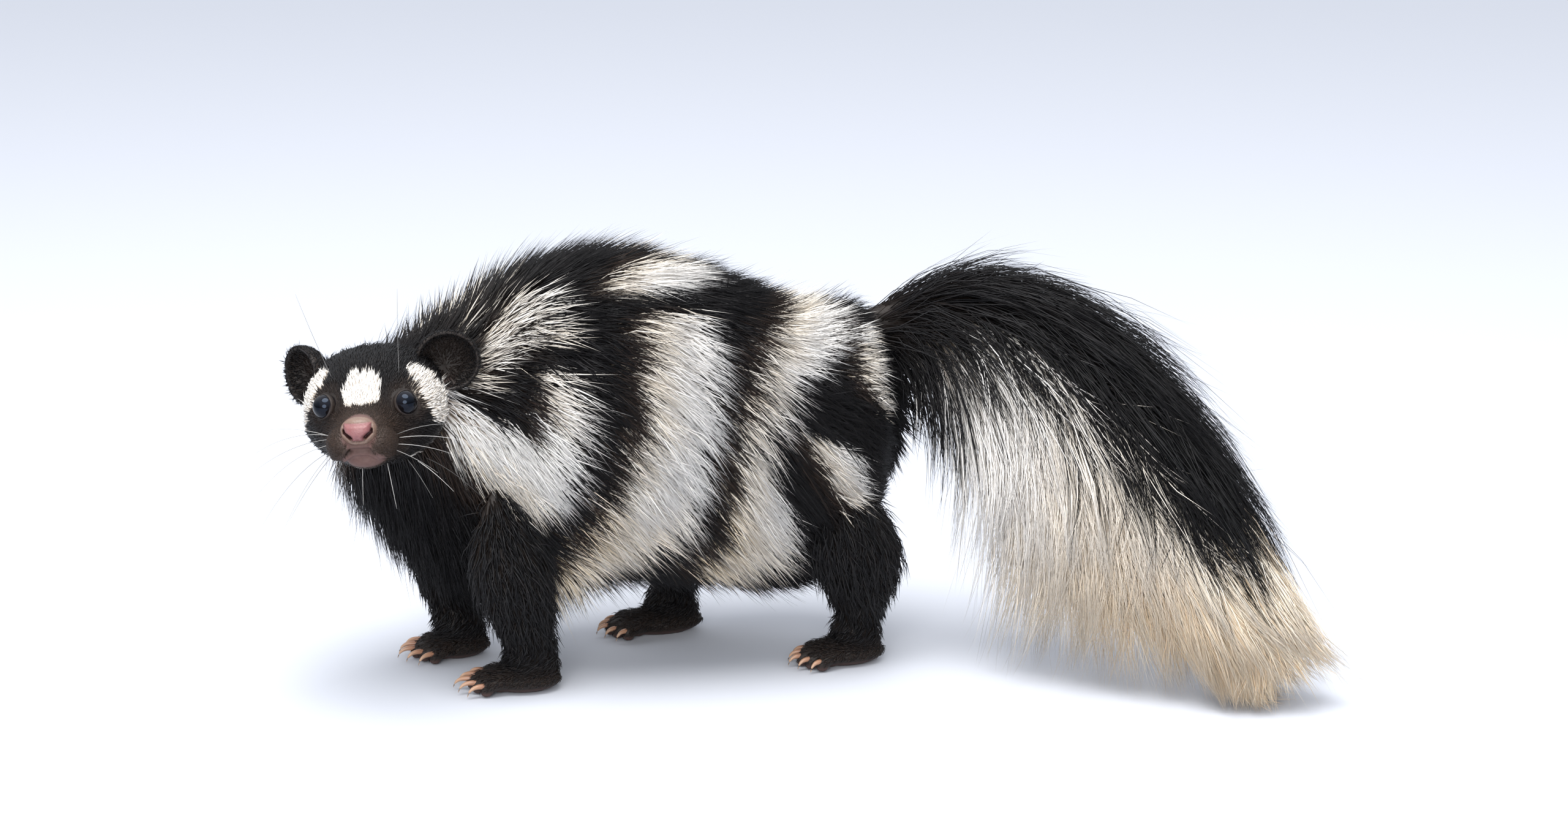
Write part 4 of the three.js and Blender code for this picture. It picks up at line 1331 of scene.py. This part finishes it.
def growTrunk(setup, pieceShares):
    draw = np.random.default_rng(setup["seed"])
    share, angle = evenRoots(trunkSkinPoint, setup["tufts"], setup["seed"], 0.01, 0.995)
    roots = trunkSkinPoint(share, angle)
    shown = depthUnderSkin(roots) < 2.2
    share, angle = share[shown], angle[shown]
    count = len(share)
    length, run, droop, nape, hang = trunkLie(share, angle)
    length = length * draw.uniform(0.75, 1.15, count) * setup["stretch"]
    reach = length * run / trunkPace(share, angle)
    down = np.where(np.cos(angle) >= 0, -1, 1)
    swing = down * droop * draw.uniform(0.5, 1.3, count)
    # tufts of one cell lean together
    along, fall, side = tape(share, angle)
    cell = np.floor((along + 0.35 * fall) / setup["cell"]) * 1000 + np.floor(fall / setup["cell"]) * side
    _, cell = np.unique(cell, return_inverse=True)
    cells = cell.max() + 1
    lean = draw.normal(0, 1, (cells, 3))
    sums = np.bincount(cell, minlength=cells)
    middleShare = np.bincount(cell, share, cells) / sums
    turned = np.where(fall > 4, angle, math.pi / 2)
    middleAngle = np.bincount(cell, turned % (2 * math.pi), cells) / sums
    pullShare = (middleShare[cell] - share) * setup["clump"]
    gap = (middleAngle[cell] - angle + math.pi) % (2 * math.pi) - math.pi
    pullAngle = np.clip(gap, -0.12, 0.12) * setup["clump"]
    swing = swing + lean[cell, 0] * 0.035 + draw.normal(0, 0.042, count)
    reach = reach * (1 + 0.12 * lean[cell, 1])
    rootLift = trunkDepth(share)
    stray = draw.uniform(0, 1, count) > 1 - trunkHair["strays"]
    tipLift = draw.normal(-0.6, setup["tipSpread"], count) + 0.8 * lean[cell, 2] + setup["rise"]
    tipLift = tipLift + np.where(stray, draw.uniform(*trunkHair["strayLift"], count), 0)
    tipLift = tipLift + trunkHair["napeLift"] * nape * draw.uniform(0, 1, count) ** 1.5
    tipLift = np.minimum(tipLift, trunkHair["mostLift"]) + hang * draw.uniform(*trunkHair["fringe"], count)
    steps = np.array(setup["steps"])
    route = np.empty((count, len(steps), 3))
    for k, t in enumerate(steps):
        route[:, k] = trunkBeyond(
            share + reach * t + pullShare * t ** 1.4,
            angle + swing * t * t + pullAngle * t ** 1.4,
            lerp(rootLift, tipLift, t ** 0.85),
        )
    outward = unit(trunkPoint(share + reach * 0.5, angle, 4) - trunkPoint(share + reach * 0.5, angle, -2))
    along, fall, side = tape(share + reach * 0.55, angle + swing * 0.3)
    white = trunkWhite(along, fall, side)
    inHead = toHead(route[:, 1])
    headPart = nearHead(inHead)
    white[headPart] = headWhite(inHead[headPart])
    white = chosenWhite(white, draw)
    # brown and tan where a band begins, cream towards the belly
    umber = trunkWhite(along + 8, fall, side) * (1 - white) * draw.uniform(0.1, 0.7, count)
    start = 1 - trunkWhite(along - 9, fall, side)
    warm = np.clip(0.75 * ease(88, 135, fall) + 0.55 * start, 0, 1) * draw.uniform(0.3, 1, count)
    warm = warm * ease(6, 30, along)
    tones = hairTones(draw, white, warm=warm, umber=umber)
    halfWidth = setup["halfWidth"] * draw.uniform(0.75, 1.25, count) * np.where(stray, 0.6, 1)
    parts, places = cutAlong(pieceShares, share, angle)
    tufts = {"route": route, "outward": outward, "halfWidth": halfWidth, "places": places, **tones}
    return tuftPieces(parts, tufts, setup["profile"], coatHair)


coatPieces = growTrunk(trunkCoat, trunkPieces) + growTrunk(trunkWisps, {"coat_wisps": (0.0, 1.0)})
print("trunk coat grown")


tailCoat = {
    "tufts": 15500, "seed": 23, "halfWidth": 0.28, "profile": (0.6, 1.0, 0.9, 0.6),
    "stray": 0.12, "gather": 0.5,
}
tailWisps = {
    "tufts": 2100, "seed": 29, "halfWidth": 0.12, "profile": (0.7, 1.0, 0.9, 0.6),
    "stray": 1.0, "gather": 0.0,
}
tailPieces = {
    "tail_hair_root": (-0.1, 0.36), "tail_hair_middle": (0.36, 0.66), "tail_hair_end": (0.66, 1.1)
}
# out is a share of the way from the bone to the hair's edge, reach a share of the tail's length
tailHair = {
    "steps": (0, 0.24, 0.5, 0.76, 1.0), "rootOut": 0.12, "spreadOut": 0.22, "reach": 0.28, "moreAbove": 0.07,
    "reachUnder": 0.42, "blackEnds": (0.80, 0.97), "whiteFrom": (0.70, 0.80), "lockDrift": 3.6,
    "pastEnd": 46, "farthestNear": -122,
}


def tailBone(share, angle):
    return tailPoint(share, angle, np.full(len(share), tailHair["spreadOut"]))


def tailDensity(angle):
    return 1 + 0.8 * ease(0.3, -0.8, np.sin(angle))


def growTail(setup, pieceShares):
    hair = tailHair
    draw = np.random.default_rng(setup["seed"])
    share, angle = evenRoots(tailBone, setup["tufts"], setup["seed"], 0.0, 0.985, tailDensity)
    count = len(share)
    under = np.clip(-np.sin(angle), 0, 1)
    above = np.clip(np.sin(angle), 0, 1)
    root = tailPoint(share, angle, np.full(count, hair["rootOut"]))
    reachAbove = (hair["reach"] + hair["moreAbove"] * above) * draw.uniform(0.5, 1.2, count)
    reachUnder = hair["reachUnder"] * draw.uniform(0.45, 1.15, count)
    reach = lerp(reachAbove, reachUnder, under)
    # the first hairs under the root are short
    reach = reach * lerp(1, lerp(0.42, 1, ease(0.04, 0.28, share)), under)
    # black above and near the root, white below and at the very end
    edge = lerp(-1.2, 0.28, ease(0.06, 0.32, share)) + 0.1 * ease(0.6, 0.8, share)
    edge = edge + 0.16 * softNoise(np.column_stack([share * 60, angle * 9]), 9, 3)
    white = np.maximum(ease(0.2, -0.2, np.sin(angle) - edge), ease(*hair["whiteFrom"], share))
    white = chosenWhite(white, draw)
    tipShare = share + reach
    blackEnd = draw.uniform(*hair["blackEnds"], count)
    tipShare = np.where(white > 0.5, tipShare, np.minimum(tipShare, blackEnd))
    tipAngle = angle + draw.normal(0, 0.24, count)
    out = lerp(draw.uniform(0.66, 1.04, count) ** 0.8, draw.uniform(0.8, 1.06, count), under)
    stray = draw.uniform(0, 1, count) < setup["stray"]
    out = np.where(stray, out + draw.uniform(0.02, 0.42, count) * lerp(0.3, 1, above), out)
    tip = tailPoint(np.minimum(tipShare, 1), tipAngle, out)
    # hairs of one lock draw together at their tips
    lock = np.floor(tipShare * 26) * 40 + np.floor((tipAngle % (2 * math.pi)) * 5)
    _, lock = np.unique(lock, return_inverse=True)
    sums = np.bincount(lock)
    middle = np.stack([np.bincount(lock, tip[:, k]) / sums for k in range(3)], axis=1)
    drift = draw.normal(0, hair["lockDrift"], (len(sums), 3)) * [1, 0.7, 0.6]
    tip = lerp(tip, middle[lock], np.where(stray, 0, setup["gather"])[:, None]) + drift[lock]
    lastBone = smoothTable(tailStations, [0.9, 1.0])[:, 0:3]
    beyond = unit(lastBone[1] - lastBone[0])
    past = np.maximum(tipShare - 1, 0)[:, None]
    tip = tip + past * hair["pastEnd"] * (beyond + [0.25, 0.3, 0])
    tip[:, 1] = np.maximum(tip[:, 1], hair["farthestNear"])
    length = np.linalg.norm(tip - root, axis=1)[:, None]
    half = np.full(count, 0.5)
    ahead = unit(tailPoint(share + 0.05, angle, half) - tailPoint(share - 0.05, angle, half))
    outward = unit(tailPoint(share, angle, np.ones(count)) - tailPoint(share, angle, np.zeros(count)))
    bend = root + ahead * length * 0.34 + outward * length * 0.22 + draw.normal(0, 2.2, (count, 3))
    steps = np.array(hair["steps"])
    route = np.stack([
        root * (1 - t) ** 2 + bend * 2 * t * (1 - t) + tip * t * t for t in steps
    ], axis=1)
    wave = softNoise(route.reshape(-1, 3) * [1, 1, 0.6], 13, 31).reshape(count, -1, 1)
    curl = draw.normal(0, 1, (count, 1, 1)) * np.sin(steps * 7 + draw.uniform(0, 6, (count, 1)))[:, :, None]
    side = unit(np.cross(ahead, outward))[:, None, :]
    route = route + side * (wave * 2.0 + curl * 0.9) * steps[None, :, None]
    # hair on the floor spreads over it
    fallen = np.maximum(1.2 - route[:, :, 2], 0)
    route[:, :, 0] += fallen * 0.5
    route[:, :, 2] = np.maximum(route[:, :, 2], 0.6 + draw.uniform(0, 2.2, (count, 1)) * steps)
    low = ease(42, 4, tip[:, 2])
    silver = ease(0.5, 0.25, share)
    warm = np.clip(0.35 * (1 - silver) + 0.55 * low * draw.uniform(0.3, 1, count), 0, 1)
    stain = low * ease(0.6, 1, tipShare) * (draw.uniform(0, 1, count) > 0.74) * 0.5
    tones = hairTones(draw, white, warm=warm, stain=stain)
    halfWidth = setup["halfWidth"] * draw.uniform(0.7, 1.25, count) * np.where(stray, 0.7, 1)
    parts, places = cutAlong(pieceShares, share, angle)
    tufts = {"route": route, "outward": outward, "halfWidth": halfWidth, "places": places, **tones}
    return tuftPieces(parts, tufts, setup["profile"], longHair)


coatPieces += growTail(tailCoat, tailPieces) + growTail(tailWisps, {"tail_wisps": (-0.1, 1.1)})
print("tail hair grown")


# Short coats of the head, ears, legs and paws, rooted on the skin's own faces

def skinPatches():
    # corners, middle, normal and area of every triangle of the skin, and whether it is an ear's
    mesh = skin.data
    mesh.calc_loop_triangles()
    corners = np.empty(len(mesh.loop_triangles) * 3, np.int32)
    mesh.loop_triangles.foreach_get("vertices", corners)
    corners = corners.reshape(-1, 3)
    points = bodyPoints(mesh)
    onEar = corners.min(1) >= len(points) - earPoints
    spots = points[corners]
    cross = np.cross(spots[:, 1] - spots[:, 0], spots[:, 2] - spots[:, 0])
    return {
        "corners": spots, "middle": spots.mean(1), "normal": unit(cross),
        "area": np.linalg.norm(cross, axis=1) / 2, "onEar": onEar,
    }


patches = skinPatches()


def scatterRoots(perArea, seed):
    # roots spread over the skin, so many to the square millimetre on each triangle
    draw = np.random.default_rng(seed)
    total = np.cumsum(patches["area"] * perArea)
    count = int(total[-1])
    chosen = np.searchsorted(total, (np.arange(count) + draw.uniform(0, 1, count)) / count * total[-1])
    chosen = np.minimum(chosen, len(total) - 1)
    a, b = draw.uniform(0, 1, (2, count))
    a, b = np.where(a + b > 1, 1 - a, a), np.where(a + b > 1, 1 - b, b)
    corner, second, third = patches["corners"][chosen].transpose(1, 0, 2)
    roots = corner + a[:, None] * (second - corner) + b[:, None] * (third - corner)
    return roots, patches["normal"][chosen], chosen, draw


def layOver(roots, normals, flow, length, lift, sunk=0.35, steps=(0.5, 1.0)):
    # each tuft follows the skin along the flow and rises to its own lift at the tip
    route = [roots - normals * sunk]
    here, before = roots, 0
    for step in steps:
        way = flow(here)
        way = unit(way - rowDot(way, normals) * normals)
        ahead = here + way * (length * (step - before))[:, None]
        nearby, turned = onSkin(ahead, 12)
        # past an edge of the skin the tuft runs on straight
        gone = np.linalg.norm(nearby - ahead, axis=1) > 0.45 * length * (step - before) + 0.5
        normals = np.where(gone[:, None], normals, turned)
        here = np.where(gone[:, None], ahead, nearby)
        route.append(here + normals * (lift * step ** 0.7)[:, None])
        before = step
    return np.stack(route, axis=1)


headCoat = {"seed": 41, "profile": (0.8, 1.0), "perArea": 3.7, "faceEnd": 24}


def headFlow(points):
    # back from the nose, out from the middle line, round the eyes and down over the cheeks
    local = toHead(points)
    way = np.column_stack([local[:, 0] * 0.05, np.ones(len(local)), (local[:, 2] + 4) * 0.05])
    way[:, 2] -= 0.45 * ease(10, 20, np.abs(local[:, 0])) * ease(10, -4, local[:, 2])
    for side in (1, -1):
        off = local - np.array([eyeAt[0] * side, eyeAt[1], eyeAt[2]])
        distance = np.linalg.norm(off, axis=1)
        way += unit(off) * (1.1 * np.exp(-np.maximum(distance - 4.6, 0) / 2.2))[:, None]
    return way @ headBasis


def headHairLength(local):
    x = np.abs(local[:, 0])
    length = lerp(1.1, 2.8, ease(3, 13, local[:, 1]))
    length = lerp(length, 5.0, ease(13, 24, local[:, 1]))
    length = lerp(length, 8.0, ease(24, 42, local[:, 1]))
    length = lerp(length, 8.5, ease(18, 26, x) * ease(6, -4, local[:, 2]) * ease(18, 28, local[:, 1]))
    return length * lerp(1, 0.6, ease(7, 4.6, eyeDistance(local)))


def eyeDistance(local):
    return np.linalg.norm(mirrored(local) - np.array(eyeAt), axis=1)


def growHead():
    setup = headCoat
    local = toHead(patches["middle"])
    perArea = setup["perArea"] * lerp(2.6, 1.0, ease(6, 26, local[:, 1]))
    bare = np.maximum(muzzlePink(local), ease(1.5, 0.7, lineDistance(mirrored(local), mouthLine)))
    perArea = perArea * ease(0.97, 0.5, bare) * ease(4.35, 4.7, eyeDistance(local))
    perArea = np.where(nearHead(local) & ~patches["onEar"] & (local[:, 1] < 47), perArea, 0)
    roots, normals, _, draw = scatterRoots(perArea, setup["seed"])
    local = toHead(roots)
    count = len(roots)
    length = headHairLength(local) * draw.uniform(0.7, 1.2, count)
    lift = length * np.where(draw.uniform(0, 1, count) > 0.95, 0.34, draw.uniform(0.08, 0.24, count))
    sway = draw.normal(0, 0.16, (count, 3))
    clump = softNoise(roots, 7, 44)[:, None] * 0.16 * unit(np.cross(normals, headBasis[1]))
    route = layOver(roots, normals, lambda p: headFlow(p) + sway + clump, length, lift, 0.3)
    white = chosenWhite(headWhite(toHead(route[:, 1])), draw)
    face = ease(20, 6, local[:, 1]) * ease(14, 3, local[:, 2])
    rings = ease(8, 5, eyeDistance(local))
    umber = np.clip(np.maximum(face * 0.8, rings * 0.3) * draw.uniform(0.5, 1.1, count), 0, 1)
    tones = hairTones(draw, white, warm=draw.uniform(0, 0.25, count), umber=umber)
    halfWidth = lerp(0.085, 0.2, ease(4, 34, local[:, 1])) * draw.uniform(0.75, 1.25, count)
    turn = np.arctan2(local[:, 2] + 1, local[:, 0])
    places = unwrapPlace(local[:, 1] / 50, turn, 0, 1)
    tufts = {"route": route, "outward": normals, "halfWidth": halfWidth, "places": places, **tones}
    onFace = local[:, 1] < setup["faceEnd"]
    parts = {"coat_face": onFace, "coat_crown": ~onFace}
    return tuftPieces(parts, tufts, setup["profile"], coatHair)


earCoat = {"seed": 43, "perArea": 2.5, "profile": (0.8, 1.0)}


def inEar(points):
    # for each point: which ear, its place across and up the ear's cup, and how far along its axis
    local = toHead(points)
    side = np.sign(local[:, 0])
    off = local - earPose(side, "at") * np.column_stack([side, np.ones(len(local)), np.ones(len(local))])
    lean = np.radians(side * earPose(side, "facing")[:, 0])
    x = off[:, 0] * np.cos(lean) + off[:, 1] * np.sin(lean)
    y = -off[:, 0] * np.sin(lean) + off[:, 1] * np.cos(lean)
    return side, x * side, off[:, 2], y


def earPink(points):
    # bare skin in the lower, front part of the cup
    _, across, up, depth = inEar(points)
    hollow = np.exp(-((across + 3.6) ** 2 + (up + 3.6) ** 2) / 17)
    return hollow * ease(4.8, 2.4, depth)


def growEars():
    setup = earCoat
    middle = patches["middle"]
    inward = rowDot(patches["normal"], toEarAxis(middle))[:, 0] < 0
    bare = np.where(inward, earPink(middle), 0)
    perArea = np.where(patches["onEar"], setup["perArea"] * ease(0.55, 0.2, bare), 0)
    roots, normals, chosen, draw = scatterRoots(perArea, setup["seed"])
    count = len(roots)
    side, across, up, _ = inEar(roots)

    def flow(points):
        # out towards the rim, and up
        here, x, z, _ = inEar(points)
        local = np.column_stack([x * here, -0.3 * np.ones(len(x)), z + 3.0])
        return unit(local) @ headBasis

    length = draw.uniform(1.6, 2.9, count)
    lift = length * draw.uniform(0.08, 0.3, count)
    sway = draw.normal(0, 0.25, (count, 3))
    route = layOver(roots, normals, lambda p: flow(p) + sway, length, lift, 0.2)
    inner = inward[chosen]
    hollow = np.where(inner, 0.3 * ease(8.5, 4, np.hypot(across, up)), 0)
    umber = np.clip(hollow + 0.5 * earPink(roots), 0, 1)
    tones = hairTones(draw, np.zeros(count), umber=umber * draw.uniform(0.6, 1.1, count))
    halfWidth = 0.16 * draw.uniform(0.75, 1.25, count)
    # the unwrap has four discs: outer and inner face of each ear
    disc = np.column_stack([np.where(side > 0, 0.25, 0.75), np.where(inner, 0.25, 0.75)])
    places = disc + 0.22 * np.clip(np.column_stack([across, up]) / 10.5, -1, 1)
    tufts = {"route": route, "outward": normals, "halfWidth": halfWidth, "places": places, **tones}
    return tuftMesh("coat_ears", tufts, setup["profile"], coatHair)


def toEarAxis(points):
    # the way that each ear's cup closes, from its opening to its back
    side = np.sign(toHead(points)[:, 0])
    lean = np.radians(side * earPose(side, "facing")[:, 0])
    return np.column_stack([-np.sin(lean), np.cos(lean), np.zeros(len(lean))]) @ headBasis


legCoat = {"seed": 47, "perArea": 0.9, "profile": (0.75, 1.0)}
pawCoat = {"seed": 53, "perArea": 3.0, "profile": (0.75, 1.0)}


def trunkNearness(points):
    # distance to the trunk's own skin, and the nearest place on it
    share = np.repeat(np.linspace(0, 1, 160), 120)
    angle = np.tile(np.arange(120) * 2 * math.pi / 120, 160)
    grid = trunkSkinPoint(share, angle)
    tree = KDTree(len(grid))
    for k, p in enumerate(grid):
        tree.insert(Vector(p), k)
    tree.balance()
    nearest = np.array([tree.find(Vector(p))[1:3] for p in points])
    index = nearest[:, 0].astype(int)
    return nearest[:, 1], share[index], angle[index]


def nearestLeg(points):
    # index of the leg that each point belongs to and the distance from its middle line
    best = np.full(len(points), 1e9)
    index = np.zeros(len(points), int)
    for k, rows in enumerate(legStations.values()):
        line = smoothTable(rows, np.linspace(0, 1, 40))[:, 0:3]
        away = np.linalg.norm(points[:, None, :] - line[None], axis=2).min(1)
        index = np.where(away < best, k, index)
        best = np.minimum(best, away)
    return index, best


def limbFlow(points):
    # down the leg and a little back, then forward over the foot
    height = points[:, 2]
    down = np.column_stack([np.full(len(points), 0.22), np.zeros(len(points)), -np.ones(len(points))])
    onFoot = np.column_stack([-np.ones(len(points)), np.zeros(len(points)), np.full(len(points), -0.5)])
    return lerp(onFoot, down, ease(9, 20, height)[:, None])


def growLimbs(name, setup, onFoot):
    middle, normal = patches["middle"], patches["normal"]
    low = (middle[:, 2] < 84) & ~nearHead(toHead(middle)) & (middle[:, 0] < 45)
    index, away = nearestLeg(middle)
    inPawPart = middle[:, 2] < 13
    # the trunk's own coat covers what lies on its surface
    part = low & (inPawPart if onFoot else ~inPawPart & (away < 26))
    if not onFoot:
        beyond = np.zeros(len(middle))
        beyond[part] = trunkNearness(middle[part])[0]
        part = part & (beyond > 2.2)
    perArea = np.where(part, setup["perArea"], 0)
    if onFoot:
        perArea = perArea * ease(1.6, 3.4, middle[:, 2]) * ease(-0.35, 0.1, normal[:, 2])
        perArea = perArea * np.where(toeEnd(middle, index) > 0.35, 0.25, 1)
    roots, normals, _, draw = scatterRoots(perArea, setup["seed"])
    count = len(roots)
    index, _ = nearestLeg(roots)
    height = roots[:, 2]
    length = lerp(6.5, 12.0, ease(12, 50, height)) if not onFoot else lerp(1.8, 5.5, ease(3, 12, height))
    length = length * draw.uniform(0.7, 1.2, count)
    stray = draw.uniform(0, 1, count) > 0.9
    lift = length * np.where(stray, 0.5, draw.uniform(0.1, 0.36, count))
    sway = draw.normal(0, 0.22, (count, 3))
    route = layOver(roots, normals, lambda p: limbFlow(p) + sway, length, lift, 0.35)
    wander = 0.8 * softNoise(roots, 6, 51)
    knees = np.zeros(count)
    for tuft in kneeTufts:
        knees = np.maximum(knees, ease(0.8, -0.8, chainDistance(roots, [tuft]) + wander))
    white = chosenWhite(knees, draw)
    umber = ease(14, 3, height) * draw.uniform(0.0, 0.5, count)
    tones = hairTones(draw, white, warm=draw.uniform(0, 0.4, count), umber=umber)
    halfWidth = (0.18 if onFoot else 0.26) * draw.uniform(0.75, 1.25, count)
    centre = np.array([rows[3][0:2] for rows in legStations.values()])[index]
    turn = np.arctan2(roots[:, 1] - centre[:, 1], roots[:, 0] - centre[:, 0]) / (2 * math.pi) + 0.5
    # each limb has its quarter of the unwrap
    places = np.column_stack([(index + 0.04 + 0.92 * turn) / 4, 0.02 + 0.96 * np.clip(height / 84, 0, 1)])
    tufts = {"route": route, "outward": normals, "halfWidth": halfWidth, "places": places, **tones}
    return tuftMesh(name, tufts, setup["profile"], coatHair)


def toeEnd(points, index):
    # 0 behind the toes, 1 at their ends
    ends = np.zeros(len(points))
    for k, place in enumerate(pawPlaces.values()):
        turn = math.radians(place["heading"])
        off = points[:, 0:2] - place["at"]
        ahead = -(off[:, 0] * math.cos(turn) + off[:, 1] * math.sin(turn))
        ends = np.where(index == k, ease(place["reach"] - 9, place["reach"] + 1, ahead), ends)
    return ends


coatPieces += growHead()
coatPieces.append(growEars())
coatPieces.append(growLimbs("coat_legs", legCoat, False))
coatPieces.append(growLimbs("coat_paws", pawCoat, True))
for piece in coatPieces:
    print(piece.name, len(piece.data.polygons))


# Whiskers: thin, tapered, springing from the pads, the brows and the cheeks

whiskers = {
    "thick": 0.075, "rings": 12, "sides": 5,
    # root and tip in the head's own frame, how far the middle bows up, and 1 for white
    "places": [
        ((-8.5, 7.5, -3.0), (-36, 13, -8), 0.10, 0.5), ((-9.0, 9, -4.0), (-37, 14, -14), 0.08, 0.4),
        ((-9.5, 8, -5.5), (-36, 10, -21), 0.10, 0.5), ((-9.0, 8, -7.0), (-35, 8, -31), 0.10, 0.3),
        ((-9.5, 10, -7.5), (-28, 6, -33), 0.08, 0.4), ((-8.5, 6.5, -7.5), (-25, 2, -29), 0.05, 0.2),
        ((-9.5, 11, -4.0), (-35, 20, -2), 0.06, 0.6), ((-1.0, 9, -13.5), (-0.6, 3, -25), 0.02, 0.8),
        ((7.0, 10, -13.0), (9.9, 4, -27), 0.02, 0.9), ((15, 22, -15), (27.4, 13, -24), 0.04, 1.0),
        ((12, 20, -14), (21, 9, -25), 0.04, 0.3), ((17, 27, -15), (36, 16, -27), 0.06, 0.1),
        ((11, 9, -3.5), (41, 12, -4.5), 0.10, 0.3), ((11, 11, -5.0), (37, 8, -8), 0.06, 0.8),
        ((10.5, 8, -6.5), (31, 3, -10.5), 0.05, 0.7), ((10, 7, -8.0), (25, -1, -15), 0.04, 0.5),
        ((11, 22, 14), (14, 14, 43), 0.03, 0.3), ((-11, 22, 14), (-19, 14, 43), -0.03, 0.3),
        ((20.5, 24, 5.5), (30, 18, 9.5), 0.02, 0.4),
    ],
}


def buildWhiskers():
    parts, white = [], []
    rings, sides = whiskers["rings"], whiskers["sides"]
    for root, tip, bow, pale in whiskers["places"]:
        root, tip = np.array(root, float), np.array(tip, float)
        steps = np.linspace(0, 1, rings)[:, None]
        rise = np.array([0, -0.3, 1]) * bow * np.linalg.norm(tip - root)
        line = lerp(root, tip, steps) + rise * 4 * steps * (1 - steps)
        radii = whiskers["thick"] * (1 - steps[:, 0]) ** 0.8 + 0.025
        parts.append(outwardShell(closedInHead(tube(line, radii, sides))))
        white += [0.75 * pale] * (rings * sides + 2)
    piece = finishMesh("whiskers", *joined(parts), coatHair)
    writeValues(piece.data, {"white": white, "along": np.full(len(white), 0.6)})
    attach(piece, "root")


buildWhiskers()
print("short coats grown")


# Marks and bare parts written on the skin itself

def paintSkin():
    mesh = skin.data
    points = bodyPoints(mesh)
    away, share, angle = trunkNearness(points)
    along, down, side = tape(share, angle)
    white = trunkWhite(along + 9, down + 2, side)
    white[away > 4] = 0
    local = toHead(points)
    head = nearHead(local)
    white[head] = headWhite(local[head] + [0, 1.2, 0])
    pink = np.where(head, muzzlePink(local), 0)
    ears = np.arange(len(points)) >= len(points) - earPoints
    pink[ears] = earPink(points[ears])
    head = head | ears
    white[ears] = 0
    white = white * (1 - pink)
    # the line of the mouth is dark
    parting = np.where(head & ~ears, np.exp(-(lineDistance(mirrored(local), mouthLine) / 0.75) ** 2), 0)
    pink = pink * (1 - parting)
    sole = ease(2.6, 1.2, points[:, 2])
    umber = np.where(head, ease(19, 8, local[:, 1]) * (1 - pink) * 0.5, 0)
    pink = np.maximum(pink, sole * 0.5)
    writeValues(mesh, {"white": white, "pink": pink, "umber": umber})


paintSkin()
skin.data.materials.clear()
skin.data.materials.append(bareSkin)
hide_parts("head", "neck", "torso", "tail", "ear_left", "ear_right",
            *["leg_" + name for name in legStations], *["paw_" + name for name in legStations])
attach(skin, "root")
print("skin painted")


# Floor, light and camera

def buildStage():
    bpy.ops.mesh.primitive_plane_add(size=12)
    floor = bpy.context.object
    floor.name = "floor"
    material, _, _, shader = newMaterial("pale floor")
    shader.inputs["Base Color"].default_value = (0.53, 0.55, 0.60, 1)
    shader.inputs["Roughness"].default_value = 0.75
    floor.data.materials.append(material)


def addLight(name, place, target, size, power, colour):
    light = bpy.data.lights.new(name, "AREA")
    light.shape = "DISK"
    light.size = size
    light.energy = power
    light.color = colour
    lamp = bpy.data.objects.new(name, light)
    lamp.location = place
    lamp.rotation_euler = (Vector(target) - Vector(place)).to_track_quat("-Z", "Y").to_euler()
    bpy.context.scene.collection.objects.link(lamp)


view = {"target": (0, 0, 85), "azimuth": -15, "elevation": 14, "distance": 1150, "width": 5405 / 2560}


def buildCamera():
    azimuth, elevation = math.radians(view["azimuth"]), math.radians(view["elevation"])
    level = math.cos(elevation)
    back = np.array([math.sin(azimuth) * level, -math.cos(azimuth) * level, math.sin(elevation)])
    target = (np.array(view["target"]) + frameShift) * mm
    camera = bpy.data.objects.new("camera", bpy.data.cameras.new("camera"))
    camera.data.sensor_width = 36
    camera.data.lens = 36 * view["width"]
    camera.location = target + back * view["distance"] * mm
    camera.rotation_euler = Vector(-back).to_track_quat("-Z", "Y").to_euler()
    camera.data.clip_start = 0.05
    camera.data.clip_end = 30
    bpy.context.scene.collection.objects.link(camera)
    bpy.context.scene.camera = camera


def buildWorld():
    # bright above and darker round the horizon, as in a studio
    world = bpy.data.worlds.new("soft studio")
    world.use_nodes = True
    nodes, links = world.node_tree.nodes, world.node_tree.links
    place = nodes.new("ShaderNodeTexCoord")
    split = nodes.new("ShaderNodeSeparateXYZ")
    links.new(place.outputs["Generated"], split.inputs[0])
    sky = ramp(nodes, links, split.outputs["Z"], [(0.05, (0.22, 0.24, 0.27)), (0.75, (1.30, 1.34, 1.42))])
    links.new(sky, nodes["Background"].inputs["Color"])
    nodes["Background"].inputs["Strength"].default_value = 1.0
    bpy.context.scene.world = world
    bpy.context.scene.view_settings.view_transform = "Standard"


buildStage()
addLight("overhead softbox", (-0.2, -0.3, 1.6), (0, 0, 0.05), 1.2, 32, (1.0, 0.99, 0.97))
addLight("front fill", (-0.7, -1.9, 0.8), (0, 0, 0.05), 1.2, 29, (1.0, 0.99, 0.98))
buildCamera()
buildWorld()
print("stage ready")
